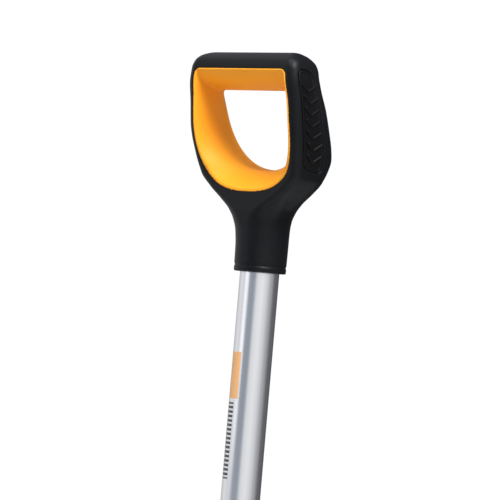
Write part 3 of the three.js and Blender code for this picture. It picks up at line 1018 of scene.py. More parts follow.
class GripForm:
    """The D-grip's outer form and hand opening as smooth fields."""

    top = 171.0
    mouth_half = 53.0
    mouth_top = 152.0
    mouth_bottom = 65.3
    top_fall = 7.6
    bottom_rise = 17.6
    waist_depth = 0.72
    waist_side = 3.4
    rake = math.tan(math.radians(11.0))

    def __init__(self) -> None:
        """Draws smooth curves through the stations."""
        self._heights = np.linspace(GRIP_STATIONS[0].height, self.top, 900)
        self._sizes = {key: self._curve(key) for key in ("half", "front", "back", "corner", "heel")}

    def _curve(self, key: str) -> np.ndarray:
        """Monotone cubic through one size of the stations."""
        x = np.array([station.height for station in GRIP_STATIONS], float)
        y = np.array([getattr(station, key) for station in GRIP_STATIONS], float)
        step, rise = np.diff(x), np.diff(y) / np.diff(x)
        slope = np.zeros(len(x))
        slope[0], slope[-1] = rise[0], rise[-1]
        for i in range(1, len(x) - 1):
            if rise[i - 1] * rise[i] > 0:
                before, after = 2 * step[i] + step[i - 1], step[i] + 2 * step[i - 1]
                slope[i] = (before + after) / (before / rise[i - 1] + after / rise[i])
        i = np.clip(np.searchsorted(x, self._heights) - 1, 0, len(x) - 2)
        u = (self._heights - x[i]) / step[i]
        start = y[i] * (1 + 2 * u) * (1 - u) ** 2 + slope[i] * step[i] * u * (1 - u) ** 2
        finish = y[i + 1] * u * u * (3 - 2 * u) + slope[i + 1] * step[i] * u * u * (u - 1)
        return start + finish

    def size(self, key: str, height: np.ndarray) -> np.ndarray:
        """One size of the cross-section at a height."""
        return np.interp(height, self._heights, self._sizes[key])

    def level(self, y: np.ndarray, z: np.ndarray) -> np.ndarray:
        """Station height of a place: the upper grip is raked, so its bar rises to the front."""
        height = z + 0.0 * y
        for _ in range(4):
            height = z + y * self.rake * ease(height, 48, 105)
        return height

    def place(self, y: np.ndarray, height: np.ndarray) -> np.ndarray:
        """Shaft height of a place given by its station height."""
        return height - y * self.rake * ease(height, 48, 105)

    def outside(self, x: np.ndarray, y: np.ndarray, z: np.ndarray) -> np.ndarray:
        """Field of the grip's solid form without its opening."""
        height = self.level(y, z)
        half, front = self.size("half", height), self.size("front", height)
        back = self.size("back", height)
        deep, centre = (front + back) / 2, (back - front) / 2
        corner = np.where(y < centre, self.size("corner", height), self.size("heel", height))
        section = round_rect(x, y - centre, (half, deep), np.minimum(corner, deep))
        return smooth_max(section, height - self.top, 3.0)

    def depth(self, y: np.ndarray, height: np.ndarray) -> np.ndarray:
        """Share of the way through the grip, 0 at the front and 1 at the back."""
        front = self.size("front", height)
        return (y + front) / (front + self.size("back", height))

    def opening(self, x: np.ndarray, y: np.ndarray, z: np.ndarray) -> np.ndarray:
        """Field of the hand opening: straight-topped, round below and waisted halfway through."""
        height = self.level(y, z)
        depth = np.clip(self.depth(y, height), 0.0, 1.0)
        before = np.clip((self.waist_depth - depth) / self.waist_depth, 0.0, 1.0)
        beyond = np.clip((depth - self.waist_depth) / (1 - self.waist_depth), 0.0, 1.0)
        swell = 1 - before**2
        top = self.mouth_top - self.top_fall * (1 - before**3 - 0.18 * beyond**2)
        bottom = self.mouth_bottom + self.bottom_rise * (swell + 0.18 * beyond)
        shoulder = 112.0 + 23.0 * depth
        taper = 0.0021 * np.maximum(height - shoulder, 0.0) ** 2
        half = self.mouth_half - self.waist_side * (1 - (2 * depth - 1) ** 2) - taper
        corner, power = 3.0, 2.6 - 0.25 * depth
        qa, qb = np.abs(x) - (half - corner), height - (top - corner)
        upper = np.hypot(np.maximum(qa, 0), np.maximum(qb, 0)) + np.minimum(np.maximum(qa, qb), 0) - corner
        reach = shoulder - bottom
        below = np.maximum(shoulder - height, 0.0) / reach
        round_end = ((np.abs(x) / half) ** power + below**power) ** (1 / power)
        lower = (round_end - 1) * np.minimum(half, reach)
        return np.where(height > shoulder, upper, lower)

    def wall(self, y: np.ndarray, z: np.ndarray) -> np.ndarray:
        """Field offset of the liner's wall: thin at both rims, and more where the opening slopes."""
        height = self.level(y, z)
        depth = np.clip(self.depth(y, height), 0.0, 1.0)
        deep = self.size("front", height) + self.size("back", height)
        before = np.clip((self.waist_depth - depth) / self.waist_depth, 0.0, 1.0)
        slope = 2 * self.bottom_rise / self.waist_depth * before / deep
        lower = 1 - ease(height, 72, 112)
        steep = 1 + (np.sqrt(1 + slope**2) - 1) * lower
        return steep * (1.5 + 0.3 * depth + 1.2 * (1 - (2 * depth - 1) ** 4))


@dataclass
class Grip:
    """The D-grip: black frame, amber liner and two ribbed side pads."""

    wardrobe: Wardrobe
    form: GripForm = field(default_factory=GripForm)
    bore: float = 16.3
    bore_top: float = 54.3
    pad_low: float = 82.0
    pad_high: float = 156.0
    pad_from: float = 0.2
    pad_to: float = 0.71
    pad_depth: float = 2.2
    chevron_pitch: float = 8.6

    def build(self) -> None:
        """Makes and fits every piece of the grip."""
        self._frame()
        self._liner()
        for side, name in ((1, "right"), (-1, "left")):
            self._pad(side, name)
            self._chevrons(side, name)

    def _pad_plan(self, y: np.ndarray, z: np.ndarray, grown: float) -> np.ndarray:
        """Field of a pad's outline seen from the side."""
        height = self.form.level(y, z)
        front = self.form.size("front", height)
        deep = front + self.form.size("back", height)
        middle = -front + deep * (self.pad_from + self.pad_to) / 2
        half_deep = deep * (self.pad_to - self.pad_from) / 2
        half_high = (self.pad_high - self.pad_low) / 2
        along = height - (self.pad_high + self.pad_low) / 2
        return round_rect(y - middle, along, (half_deep, half_high), 6.0) - grown

    def _frame_field(self, x: np.ndarray, y: np.ndarray, z: np.ndarray) -> np.ndarray:
        """Black frame: opening, tube bore, pad seats, parting groove and rivet seats cut in."""
        form = self.form
        shape = smooth_max(form.outside(x, y, z), -(form.opening(x, y, z) - form.wall(y, z)), 0.7)
        half = form.size("half", form.level(y, z))
        seat = np.maximum(self._pad_plan(y, z, 0.35), half - self.pad_depth - GAP - np.abs(x))
        shape = smooth_max(shape, -seat, 0.7)
        round_axis = np.hypot(x, y)
        shape = smooth_max(shape, -np.maximum(round_axis - self.bore, z - self.bore_top), 0.8)
        shape = smooth_max(shape, -z, 1.4)
        groove = 1.6 - np.hypot(round_axis - 22.3, z - 5.2)
        shape = smooth_max(shape, groove, 0.4)
        for height in NECK_RIVETS:
            rivet_seat = np.maximum(np.hypot(x, z - height) - 5.2, 19.9 - y)
            shape = smooth_max(shape, -rivet_seat, 0.4)
        return shape

    def _frame(self) -> None:
        """Black moulded frame."""
        skin = FieldSurface(self._frame_field, (-66, -46, -2), (66, 24, 182), 0.88)
        frame_piece = dress(skin.build("grip_frame"), self.wardrobe[CHARCOAL])
        fit(frame_piece, Body.HANDLE, Slot.BLACK_PLASTIC, "handle_frame")

    def _liner_field(self, x: np.ndarray, y: np.ndarray, z: np.ndarray) -> np.ndarray:
        """Amber liner, a hair proud of the frame at both rims."""
        form = self.form
        opening = form.opening(x, y, z)
        shape = smooth_max(form.outside(x, y, z) - 0.1, opening - form.wall(y, z) + 0.2, 0.4)
        return smooth_max(shape, -opening, 0.7)

    def _liner(self) -> None:
        """Soft liner all round the hand opening."""
        skin = FieldSurface(self._liner_field, (-61, -46, 54), (61, 24, 170), 0.7)
        liner = dress(skin.build("grip_liner_soft"), self.wardrobe[AMBER])
        fit(liner, Body.HANDLE, Slot.AMBER_RUBBER, "grip_liner")

    def _pad(self, side: int, name: str) -> None:
        """Rubber pad let into the side of the D, with a raised rim."""

        def shape(x: np.ndarray, y: np.ndarray, z: np.ndarray) -> np.ndarray:
            half = self.form.size("half", self.form.level(y, z))
            plan = self._pad_plan(y, z, 0.0)
            sunk = 0.7 * ease(-plan, 1.2, 2.2)
            pad = smooth_max(self.form.outside(x, y, z) - 0.1 + sunk, plan, 0.6)
            return smooth_max(pad, half - self.pad_depth - side * x, 0.3)

        low = (50, -44, 74) if side > 0 else (-66, -44, 74)
        high = (66, 8, 170) if side > 0 else (-50, 8, 170)
        pad = dress(
            FieldSurface(shape, low, high, 0.55).build(f"side_pad_{name}_rubber"), self.wardrobe[PAD]
        )
        fit(pad, Body.HANDLE, Slot.PAD_RUBBER, f"side_pad_{name}")

    def _chevrons(self, side: int, name: str) -> None:
        """Raised chevrons along a pad, by Geometry Nodes."""
        heights = np.arange(self.pad_low + 6.5, self.pad_high - 8.0, self.chevron_pitch)
        places, turns = [], []
        for height in heights:
            front = float(self.form.size("front", height))
            deep = front + float(self.form.size("back", height))
            y = -front + deep * (self.pad_from + self.pad_to) / 2
            slope = float(self.form.size("half", height + 1) - self.form.size("half", height - 1)) / 2
            x = float(self.form.size("half", height)) - 0.62
            places.append((side * x, y, float(self.form.place(np.array(y), np.array(height)))))
            turns.append((0.0, side * (math.pi / 2 + math.atan(slope)), 0.0))
        pattern = self._chevron(side)
        ribs = copies_on_points(
            f"side_pad_{name}_chevrons", np.array(places), np.array(turns), pattern, self.wardrobe[PAD]
        )
        tidy_mesh(ribs)
        fit(ribs, Body.HANDLE, Slot.PAD_RUBBER)

    def _chevron(self, side: int) -> bpy.types.Object:
        """One rib: a V of even width with a flat top, lying on its own XY plane."""
        reach, rise, width, tall = 7.8, 5.2, 3.0, 1.3
        section = [(-width / 2, 0.0), (-width / 2, 0.35), (-width / 5, tall), (width / 5, tall),
                   (width / 2, 0.35), (width / 2, 0.0)]
        points, faces = [], []
        stops = (-reach, -reach + 0.5, 0.0, reach - 0.5, reach)
        for stop in stops:
            shrink = 0.55 if abs(stop) == reach else 1.0
            for offset, height in section:
                along = rise * abs(stop) / reach + offset * shrink
                points.append((-side * along, stop, height * shrink))
        count = len(section)
        for ring in range(len(stops) - 1):
            for i in range(count):
                a, b = ring * count + i, ring * count + (i + 1) % count
                faces.append((a, b, b + count, a + count))
        faces.append(tuple(range(count)))
        faces.append(tuple(range(len(points) - count, len(points))))
        mesh = bpy.data.meshes.new("chevron")
        mesh.from_pydata([tuple(v * MM for v in point) for point in points], [], faces)
        obj = bpy.data.objects.new("chevron", mesh)
        bpy.context.scene.collection.objects.link(obj)
        return tidy_mesh(obj, 40.0)


NECK_RIVETS = (27.0, 12.0)
COLLAR_RIVET = -279.0
LOCK_HOLES = (-40.0, -142.5, -245.0)
BLADE_BUTTON_HEIGHT = -545.0


# ------------------------------------------------------------------------------------ shaft


def tube_profile(outer: float, inner: float, bottom: float, top: float) -> Profile:
    """Closed profile of a plain tube."""
    return ((inner, bottom), (outer, bottom), (outer, top), (inner, top))


def cross_drill(radius: float, height: float) -> bpy.types.Object:
    """Drill through a tube's back wall."""
    profile = ((0.0, 8.0), (radius, 8.0), (radius, 30.0), (0.0, 30.0))
    return Turned(profile, fillet=0.0001, segments=40).build("drill", towards_back(height))


def rivet_pattern(head: float, shank: float, length: float) -> bpy.types.Object:
    """A domed rivet about its own zero, which is the face that its head sits on."""
    profile = (
        (0.0, -length), (shank, -length), (shank, 0.0), (head, 0.0), (head, 0.35), (head * 0.82, 1.15),
               (head * 0.5, 1.75), (0.0, 2.05))
    outline = np.array(rounded(profile, 0.25, 3))
    points = outline[:, None, :]
    angles = np.linspace(0, 2 * math.pi, 36, endpoint=False)[None, :]
    x = points[..., 0] * np.cos(angles)
    y = points[..., 0] * np.sin(angles)
    z = np.broadcast_to(points[..., 1], x.shape)
    vertices = np.stack([x, y, z], axis=-1).reshape(-1, 3) * MM
    rows, columns = x.shape
    faces = [
        (row * columns + i, row * columns + (i + 1) % columns,
         (row + 1) * columns + (i + 1) % columns, (row + 1) * columns + i)
        for row in range(rows - 1)
        for i in range(columns)
    ]
    mesh = bpy.data.meshes.new("rivet")
    mesh.from_pydata(vertices.tolist(), [], faces)
    obj = bpy.data.objects.new("rivet", mesh)
    bpy.context.scene.collection.objects.link(obj)
    return tidy_mesh(obj, 40.0)


@dataclass
class UpperShaft:
    """The fixed tube with its plug, rivets, collar and wiper."""

    wardrobe: Wardrobe
    radius: float = 16.0
    bore: float = 14.3
    top: float = 54.0
    bottom: float = -296.0
    collar_top: float = -262.0
    collar_bottom: float = -305.0
    collar_radius: float = 19.0
    neck_radius: float = 20.0

    def build(self) -> None:
        """Makes and fits every piece."""
        self._tube()
        self._plug()
        self._rivets()
        self._collar()
        self._wiper()

    def _tube(self) -> None:
        """Bright tube with three lock holes at the back."""
        walls = tube_profile(self.radius, self.bore, self.bottom, self.top)
        tube = Turned(walls, 0.4, 128).build("upper_tube_drawn")
        cut(tube, [cross_drill(4.5, height) for height in LOCK_HOLES])
        dress(tidy_mesh(tube), self.wardrobe[PRINTED_TUBE])
        fit(tube, Body.HANDLE, Slot.TUBE, "upper_tube")

    def _plug(self) -> None:
        """Plug inside the tube's top end."""
        walls = tube_profile(self.bore - GAP, 6.0, self.top - 16, self.top - 1)
        plug = Turned(walls, 0.8).build("tube_plug_turned")
        fit(dress(plug, self.wardrobe[ACETAL]), Body.HANDLE, Slot.GREY_PLASTIC, "tube_plug")

    def _rivets(self) -> None:
        """Rivets at the back of the neck and of the collar, by Geometry Nodes."""
        neck = [(0.0, self.neck_radius - 0.5, height) for height in NECK_RIVETS]
        turn = (-math.pi / 2, 0.0, 0.0)
        pieces = copies_on_points(
            "neck_rivets", np.array(neck), np.array([turn] * len(neck)), rivet_pattern(4.2, 2.4, 6.0),
            self.wardrobe[STEEL],
        )
        fit(pieces, Body.HANDLE, Slot.STEEL, "neck_rivet_upper", "neck_rivet_lower")
        collar = np.array([(0.0, self.collar_radius - 0.1, COLLAR_RIVET)])
        piece = copies_on_points(
            "collar_rivet_domed", collar, np.array([turn]),
            rivet_pattern(4.2, 2.4, 4.2), self.wardrobe[STEEL],
        )
        fit(piece, Body.HANDLE, Slot.STEEL, "collar_rivet")

    def _collar(self) -> None:
        """Moulded collar with shallow rings and gripping ribs."""
        inner, lip = self.radius + GAP, 14.1
        low, high, outer = self.collar_bottom, self.collar_top, self.collar_radius
        profile = (
            (inner, high), (inner, low + 2), (lip, low + 2), (lip, low),
            (outer - 1.5, low), (outer, low + 1.5),
            (outer, low + 7), (outer - 0.8, low + 7.8), (outer - 0.8, low + 9), (outer, low + 9.8),
            (outer, high - 14), (outer - 0.8, high - 13.2), (outer - 0.8, high - 12), (outer, high - 11.2),
            (outer, high - 6), (outer - 1.6, high),
        )
        collar = Turned(profile, 0.5, 112).build("tube_collar_moulded")
        fit(dress(collar, self.wardrobe[CHARCOAL]), Body.HANDLE, Slot.BLACK_PLASTIC, "tube_collar")
        self._collar_ribs(low + 11.6, high - 15.8)

    def _collar_ribs(self, low: float, high: float) -> None:
        """Upright ribs round the collar, by Geometry Nodes, with a gap for the rivet."""
        count = 44
        angles = [2 * math.pi * (i + 0.5) / count for i in range(count)]
        angles = [angle for angle in angles if abs(angle - math.pi / 2) > 0.32]
        middle = (low + high) / 2
        radius = self.collar_radius - 0.1
        places = np.array([(radius * math.cos(a), radius * math.sin(a), middle) for a in angles])
        turns = np.array([(0.0, 0.0, a) for a in angles])
        ribs = copies_on_points(
            "tube_collar_ribs", places, turns, self._rib_pattern(high - low), self.wardrobe[CHARCOAL]
        )
        fit(tidy_mesh(ribs), Body.HANDLE, Slot.BLACK_PLASTIC)

    @staticmethod
    def _rib_pattern(length: float) -> bpy.types.Object:
        """A slim rib along Z with a crowned face to +X and tapered ends."""
        section = [(-0.3, -0.75), (0.35, -0.6), (0.7, -0.22), (0.7, 0.22), (0.35, 0.6), (-0.3, 0.75)]
        stops = [(-length / 2, 0.2), (-length / 2 + 1.4, 1.0), (length / 2 - 1.4, 1.0), (length / 2, 0.2)]
        points = [
            (x * share if x > 0 else x, y * (0.5 + share / 2), z)
            for z, share in stops for x, y in section
        ]
        count = len(section)
        faces = [
            (ring * count + i, ring * count + (i + 1) % count, (ring + 1) * count + (i + 1) % count,
             (ring + 1) * count + i)
            for ring in range(len(stops) - 1)
            for i in range(count)
        ]
        faces += [tuple(range(count)), tuple(range(len(points) - count, len(points)))]
        mesh = bpy.data.meshes.new("collar_rib")
        mesh.from_pydata([tuple(v * MM for v in point) for point in points], [], faces)
        obj = bpy.data.objects.new("collar_rib", mesh)
        bpy.context.scene.collection.objects.link(obj)
        return tidy_mesh(obj, 45.0)

    def _wiper(self) -> None:
        """Rubber ring that wipes the lower tube."""
        low, high = self.collar_bottom + 2 + GAP, self.bottom - GAP
        profile = ((13.8, low), (15.8, low), (15.8, high), (14.6, high), (13.8, high - 1.5))
        wiper = Turned(profile, 0.4).build("collar_wiper_ring")
        fit(dress(wiper, self.wardrobe[PAD]), Body.HANDLE, Slot.PAD_RUBBER, "collar_wiper")


@dataclass
class LowerShaft:
    """The sliding tube with its end plugs, spring buttons and leaf springs."""

    wardrobe: Wardrobe
    radius: float = 13.5
    bore: float = 12.0
    top: float = -212.0
    bottom: float = -590.0
    guide_radius: float = 14.0

    def build(self) -> None:
        """Makes and fits every piece."""
        walls = tube_profile(self.radius, self.bore, self.bottom, self.top)
        tube = Turned(walls, 0.4, 112).build("lower_tube_drawn")
        cut(tube, [cross_drill(4.3, height) for height in (LOCK_HOLES[2], BLADE_BUTTON_HEIGHT)])
        fit(dress(tidy_mesh(tube), self.wardrobe[TUBE]), Body.LOWER_SHAFT, Slot.TUBE, "lower_tube")
        self._end_plugs()
        self._button("shaft_button", LOCK_HOLES[2], Body.SHAFT_BUTTON)
        self._button("blade_button", BLADE_BUTTON_HEIGHT, Body.BLADE_BUTTON)
        self._spring("shaft_button", LOCK_HOLES[2])
        self._spring("blade_button", BLADE_BUTTON_HEIGHT)

    def _end_plugs(self) -> None:
        """Guide plug on the top end and foot on the bottom end."""
        top, bottom, inner = self.top, self.bottom, self.bore - GAP
        guide = ((6.0, top - 14), (inner, top - 14), (inner, top + GAP), (self.guide_radius, top + GAP),
                 (self.guide_radius, top + 3), (self.guide_radius - 0.7, top + 3.6),
                 (self.guide_radius - 0.7, top + 5.4), (self.guide_radius, top + 6),
                  (self.guide_radius, top + 9),
                 (6.0, top + 9))
        foot = ((3.0, bottom - 3), (self.radius, bottom - 3), (self.radius, bottom - GAP),
                (inner, bottom - GAP),
                (inner, bottom + 10), (3.0, bottom + 10))
        for name, profile, node in (
            ("glide_plug_turned", guide, "glide_plug"),
            ("tube_foot_turned", foot, "tube_foot"),
        ):
            plug = Turned(profile, 0.6, 80).build(name)
            fit(dress(plug, self.wardrobe[ACETAL]), Body.LOWER_SHAFT, Slot.GREY_PLASTIC, node)

    def _button(self, name: str, height: float, body: Body) -> None:
        """Domed pin with its flange, pressed in at rest."""
        profile = (
            (0.0, 3.4), (5.5, 3.4), (5.5, 4.4), (4.0, 4.4), (4.0, 12.4),
            (3.2, 13.15), (1.8, 13.4), (0.0, 13.4),
        )
        pin = Turned(profile, 0.3, 64).build(f"{name}_turned", towards_back(height))
        fit(dress(pin, self.wardrobe[STEEL]), body, Slot.STEEL, f"{name}_pin")

    def _spring(self, name: str, height: float) -> None:
        """Folded leaf spring: a strip of even thickness along a bent path."""
        seat, rest, leaf, half = 2.7, -9.2, 0.7, 3.5
        path = [(rest, 12.0), (rest, -24.0), (rest + 0.9, -27.4), (rest + 2.6, -28.6), (rest + 4.3, -27.2),
                (seat, -7.0), (seat, 5.8)]
        centre = np.array(path)
        fine = [centre[0]]
        for i in range(1, len(centre) - 1):
            before, after = (centre[i - 1] + centre[i]) / 2, (centre[i] + centre[i + 1]) / 2
            fine += [
                before * (1 - t) ** 2 + centre[i] * 2 * t * (1 - t) + after * t**2
                for t in np.linspace(0, 1, 7)
            ]
        fine.append(centre[-1])
        line = np.array(fine)
        along = np.gradient(line, axis=0)
        along /= np.linalg.norm(along, axis=1, keepdims=True) + 1e-9
        across = np.stack([-along[:, 1], along[:, 0]], axis=1) * leaf / 2
        points, faces = [], []
        for centre_point, offset in zip(line, across):
            for x, side in ((-half, 1), (half, 1), (half, -1), (-half, -1)):
                y, z = centre_point + side * offset
                points.append((x, y, height + z))
        for i in range(len(line) - 1):
            for k in range(4):
                a, b = i * 4 + k, i * 4 + (k + 1) % 4
                faces.append((a, b, b + 4, a + 4))
        faces += [(0, 1, 2, 3), tuple(len(points) - 4 + k for k in range(4))]
        spring = tidy_mesh(mesh_object(f"{name}_leaf", np.array(points), faces), 50.0)
        fit(dress(spring, self.wardrobe[STEEL]), Body.LOWER_SHAFT, Slot.STEEL, f"{name}_spring")


# ------------------------------------------------------------------------------------ blade


@dataclass
class Blade:
    """The scoop: pressed aluminium sheet, moulded socket and the rivets that join them."""

    wardrobe: Wardrobe
    length: float = 275.0
    thickness: float = 2.0
    pitch: float = math.radians(10.0)
    top: float = -518.0
    lead: float = 19.0
    socket_top: float = -510.0
    socket_bottom: float = -632.0
    socket_radius: float = 17.0
    rivet_across: float = 22.0
    rivet_down: tuple[float, float] = (14.0, 104.0)
    anchor: tuple[float, float, float] = (72.0, 52.0, 7.0)

    def build(self) -> None:
        """Makes and fits every piece."""
        self._sheet()
        self._socket()
        self._rivets()

    def place(self, across: np.ndarray, down: np.ndarray, forward: np.ndarray) -> np.ndarray:
        """Shaft-frame points from the blade's own frame: across, down the sheet, forward of its back."""
        y = -self.lead - down * math.sin(self.pitch) - forward * math.cos(self.pitch)
        z = self.top - down * math.cos(self.pitch) + forward * math.sin(self.pitch)
        return np.stack(np.broadcast_arrays(np.asarray(across, float), y, z), axis=-1)

    @staticmethod
    def _plain_half(share: np.ndarray) -> np.ndarray:
        """Half width at a share of the length, before the corners are rounded."""
        return 110 + 12 * ease(share, 0, 0.22) - 30 * ease(share, 0.35, 1.15)

    def _half(self, share: np.ndarray) -> np.ndarray:
        """Half width at a share of the length, with round corners at both ends."""
        result = self._plain_half(share)
        for distance, corner in (((1 - share) * self.length, 26.0), (share * self.length, 14.0)):
            near = np.clip(1 - distance / corner, 0.0, 1.0)
            result = result - corner * (1 - np.sqrt(1 - near**2))
        return result

    def _forward(self, across: np.ndarray, share: np.ndarray, down: np.ndarray) -> np.ndarray:
        """How far the sheet's back face stands forward of its flat floor."""
        side = np.maximum(0.0, np.abs(across) / self._plain_half(share) - 0.36) / 0.64
        walls = (34 - 24 * share) * side**2.2
        brow = 9 * ease(side, 0, 0.6) * np.maximum(0.0, 1 - share / 0.3) ** 2
        run = ease(share, 0.3, 0.42) * (1 - ease(share, 0.84, 0.95))
        near = np.minimum(np.abs(np.abs(across) - 54), 11)
        ribs = 4 * run * np.cos(near / 11 * math.pi / 2) ** 2
        ring = np.hypot(np.abs(across) - self.anchor[0], down - self.anchor[1])
        rim = 1.1 * np.exp(-(((ring - self.anchor[2] - 3.2) / 1.8) ** 2))
        return walls + brow + ribs + rim

    def _sheet(self) -> None:
        """Pressed sheet with rolled corners, two long ribs and two anchor holes."""
        columns, rows = 190, 210
        share = (1 - np.cos(np.linspace(0, math.pi, rows + 1))) / 2
        share = 0.35 * share + 0.65 * np.linspace(0, 1, rows + 1)
        u = np.linspace(-1, 1, columns + 1)
        share, u = share[:, None], u[None, :]
        across = u * self._half(share)
        down = share * self.length - 16 * share**6 * (across / 92) ** 2
        back = self.place(across, down, self._forward(across, share, down))
        slope_across = np.gradient(back, axis=1)
        slope_down = np.gradient(back, axis=0)
        normal = np.cross(slope_down, slope_across)
        normal /= np.linalg.norm(normal, axis=2, keepdims=True)
        normal[normal[..., 1] > 0] *= -1
        front = back + normal * self.thickness
        points = np.concatenate([back.reshape(-1, 3), front.reshape(-1, 3)])
        sheet = mesh_object("blade_sheet_pressed", points, self._sheet_faces(rows, columns))
        tidy_mesh(sheet, 40.0)
        cut(sheet, [self._drill(self.anchor[2], side * self.anchor[0], self.anchor[1]) for side in (1, -1)])
        self._round_edges(sheet)
        fit(dress(sheet, self.wardrobe[SHEET]), Body.BLADE, Slot.BLADE, "blade_plate")

    @staticmethod
    def _sheet_faces(rows: int, columns: int) -> list[tuple[int, ...]]:
        """Faces of a closed sheet with a back and a front layer of points."""
        width = columns + 1
        layer = (rows + 1) * width
        faces = []
        for row in range(rows):
            for column in range(columns):
                a = row * width + column
                faces.append((a, a + 1, a + width + 1, a + width))
                faces.append((layer + a, layer + a + width, layer + a + width + 1, layer + a + 1))
        for column in range(columns):
            low = rows * width + column
            faces.append((column, layer + column, layer + column + 1, column + 1))
            faces.append((low, low + 1, layer + low + 1, layer + low))
        for row in range(rows):
            left, right = row * width, row * width + columns
            faces.append((left, left + width, layer + left + width, layer + left))
            faces.append((right, layer + right, layer + right + width, right + width))
        return faces

    @staticmethod
    def _round_edges(sheet: bpy.types.Object) -> None:
        """Breaks the sheet's sheared edges with a small bevel."""
        bevel = sheet.modifiers.new("broken_edges", "BEVEL")
        bevel.width = 0.5 * MM
        bevel.segments = 2
        bevel.limit_method = "ANGLE"
        bevel.angle_limit = math.radians(60)
        settle(sheet)
        tidy_mesh(sheet, 50.0)

    def _on_blade(self, across: float, down: float) -> Callable[[np.ndarray], np.ndarray]:
        """Stands a turned part on the sheet, with its own +Z forward along the sheet's normal."""
        return lambda points: self.place(across + points[:, 0], down + points[:, 1], points[:, 2])

    def _drill(self, radius: float, across: float, down: float) -> bpy.types.Object:
        """Drill along the sheet's normal."""
        profile = ((0.0, -30.0), (radius, -30.0), (radius, 60.0), (0.0, 60.0))
        return Turned(profile, fillet=0.0001, segments=56).build("drill", self._on_blade(across, down))

    def _socket_field(self, x: np.ndarray, y: np.ndarray, z: np.ndarray) -> np.ndarray:
        """Sleeve, web, saddle plate and gussets, joined with fillets, with the bore cut in."""
        sin, cos = math.sin(self.pitch), math.cos(self.pitch)
        forward = -(y + self.lead) * cos + (z - self.top) * sin
        down = -(y + self.lead) * sin - (z - self.top) * cos
        sleeve = np.hypot(x, y) - self.socket_radius
        sleeve = smooth_max(sleeve, np.abs(z - (self.socket_top + self.socket_bottom) / 2 + 0.4) - 60.6, 2.0)
        swell = np.hypot(x, y) - self.socket_radius - 1.3
        cuff = smooth_max(swell, np.abs(z - self.socket_top + 5.5) - 4.6, 1.6)
        sleeve = smooth_min(sleeve, cuff, 1.0)
        plate = round_rect(x, down - 60.0, (30.0, 58.0), 9.0)
        plate = smooth_max(plate, np.abs(forward + GAP + 2.5) - 2.5, 1.2)
        web = np.maximum(np.abs(x) - 10.0, np.abs(down - 60.0) - 52.0)
        web = np.maximum(web, np.maximum(forward + GAP + 1.0, y - 4.0))
        web = np.maximum(web, self.socket_bottom + 6.0 - z)
        shape = smooth_min(smooth_min(sleeve, web, 4.0), plate, 4.0)
        for place in (38.0, 60.0, 82.0):
            gusset = np.maximum(np.abs(down - place) - 1.4, np.abs(x) + 0.9 * (-forward - GAP) - 30.0)
            gusset = np.maximum(gusset, np.maximum(forward + GAP + 1.0, y - 2.0))
            shape = smooth_min(shape, gusset, 2.0)
        bore = np.maximum(np.hypot(x, y) - 13.8, -z - 594.0)
        shape = smooth_max(shape, -bore, 0.8)
        shape = smooth_max(shape, -np.maximum(np.hypot(x, y) - 5.0, z + 590.0), 0.8)
        shape = smooth_max(shape, forward + GAP, 0.4)
        shape = smooth_max(shape, -np.maximum(np.hypot(x, z - BLADE_BUTTON_HEIGHT) - 4.5, 5.0 - y), 0.9)
        for across in (self.rivet_across, -self.rivet_across):
            for place in self.rivet_down:
                hole = np.hypot(x - across, down - place) - 2.8
                shape = smooth_max(shape, -hole, 0.4)
        return shape

    def _socket(self) -> None:
        """Moulded socket on the back of the blade."""
        skin = FieldSurface(self._socket_field, (-32, -48, -640), (32, 21, -507), 0.8)
        socket = dress(skin.build("blade_socket_moulded"), self.wardrobe[CHARCOAL])
        fit(socket, Body.BLADE, Slot.BLACK_PLASTIC, "blade_socket")

    def _rivets(self) -> None:
        """Four domed rivets through sheet and saddle, by Geometry Nodes, with tails behind."""
        places, turns = [], []
        for forward, flip in ((self.thickness, 0.0), (-GAP - 5.0, math.pi)):
            for down in self.rivet_down:
                for across in (self.rivet_across, -self.rivet_across):
                    places.append(self.place(np.array(across), np.array(down), np.array(forward)))
                    turns.append((math.pi / 2 - self.pitch + flip, 0.0, 0.0))
        rivets = copies_on_points(
            "socket_rivets_domed", np.array(places), np.array(turns),
            rivet_pattern(5.2, 2.5, 3.4), self.wardrobe[STEEL],
        )
        fit(rivets, Body.BLADE, Slot.STEEL, *(f"socket_rivet_{number}" for number in range(1, 5)))


# ------------------------------------------------------------------------------------ studio


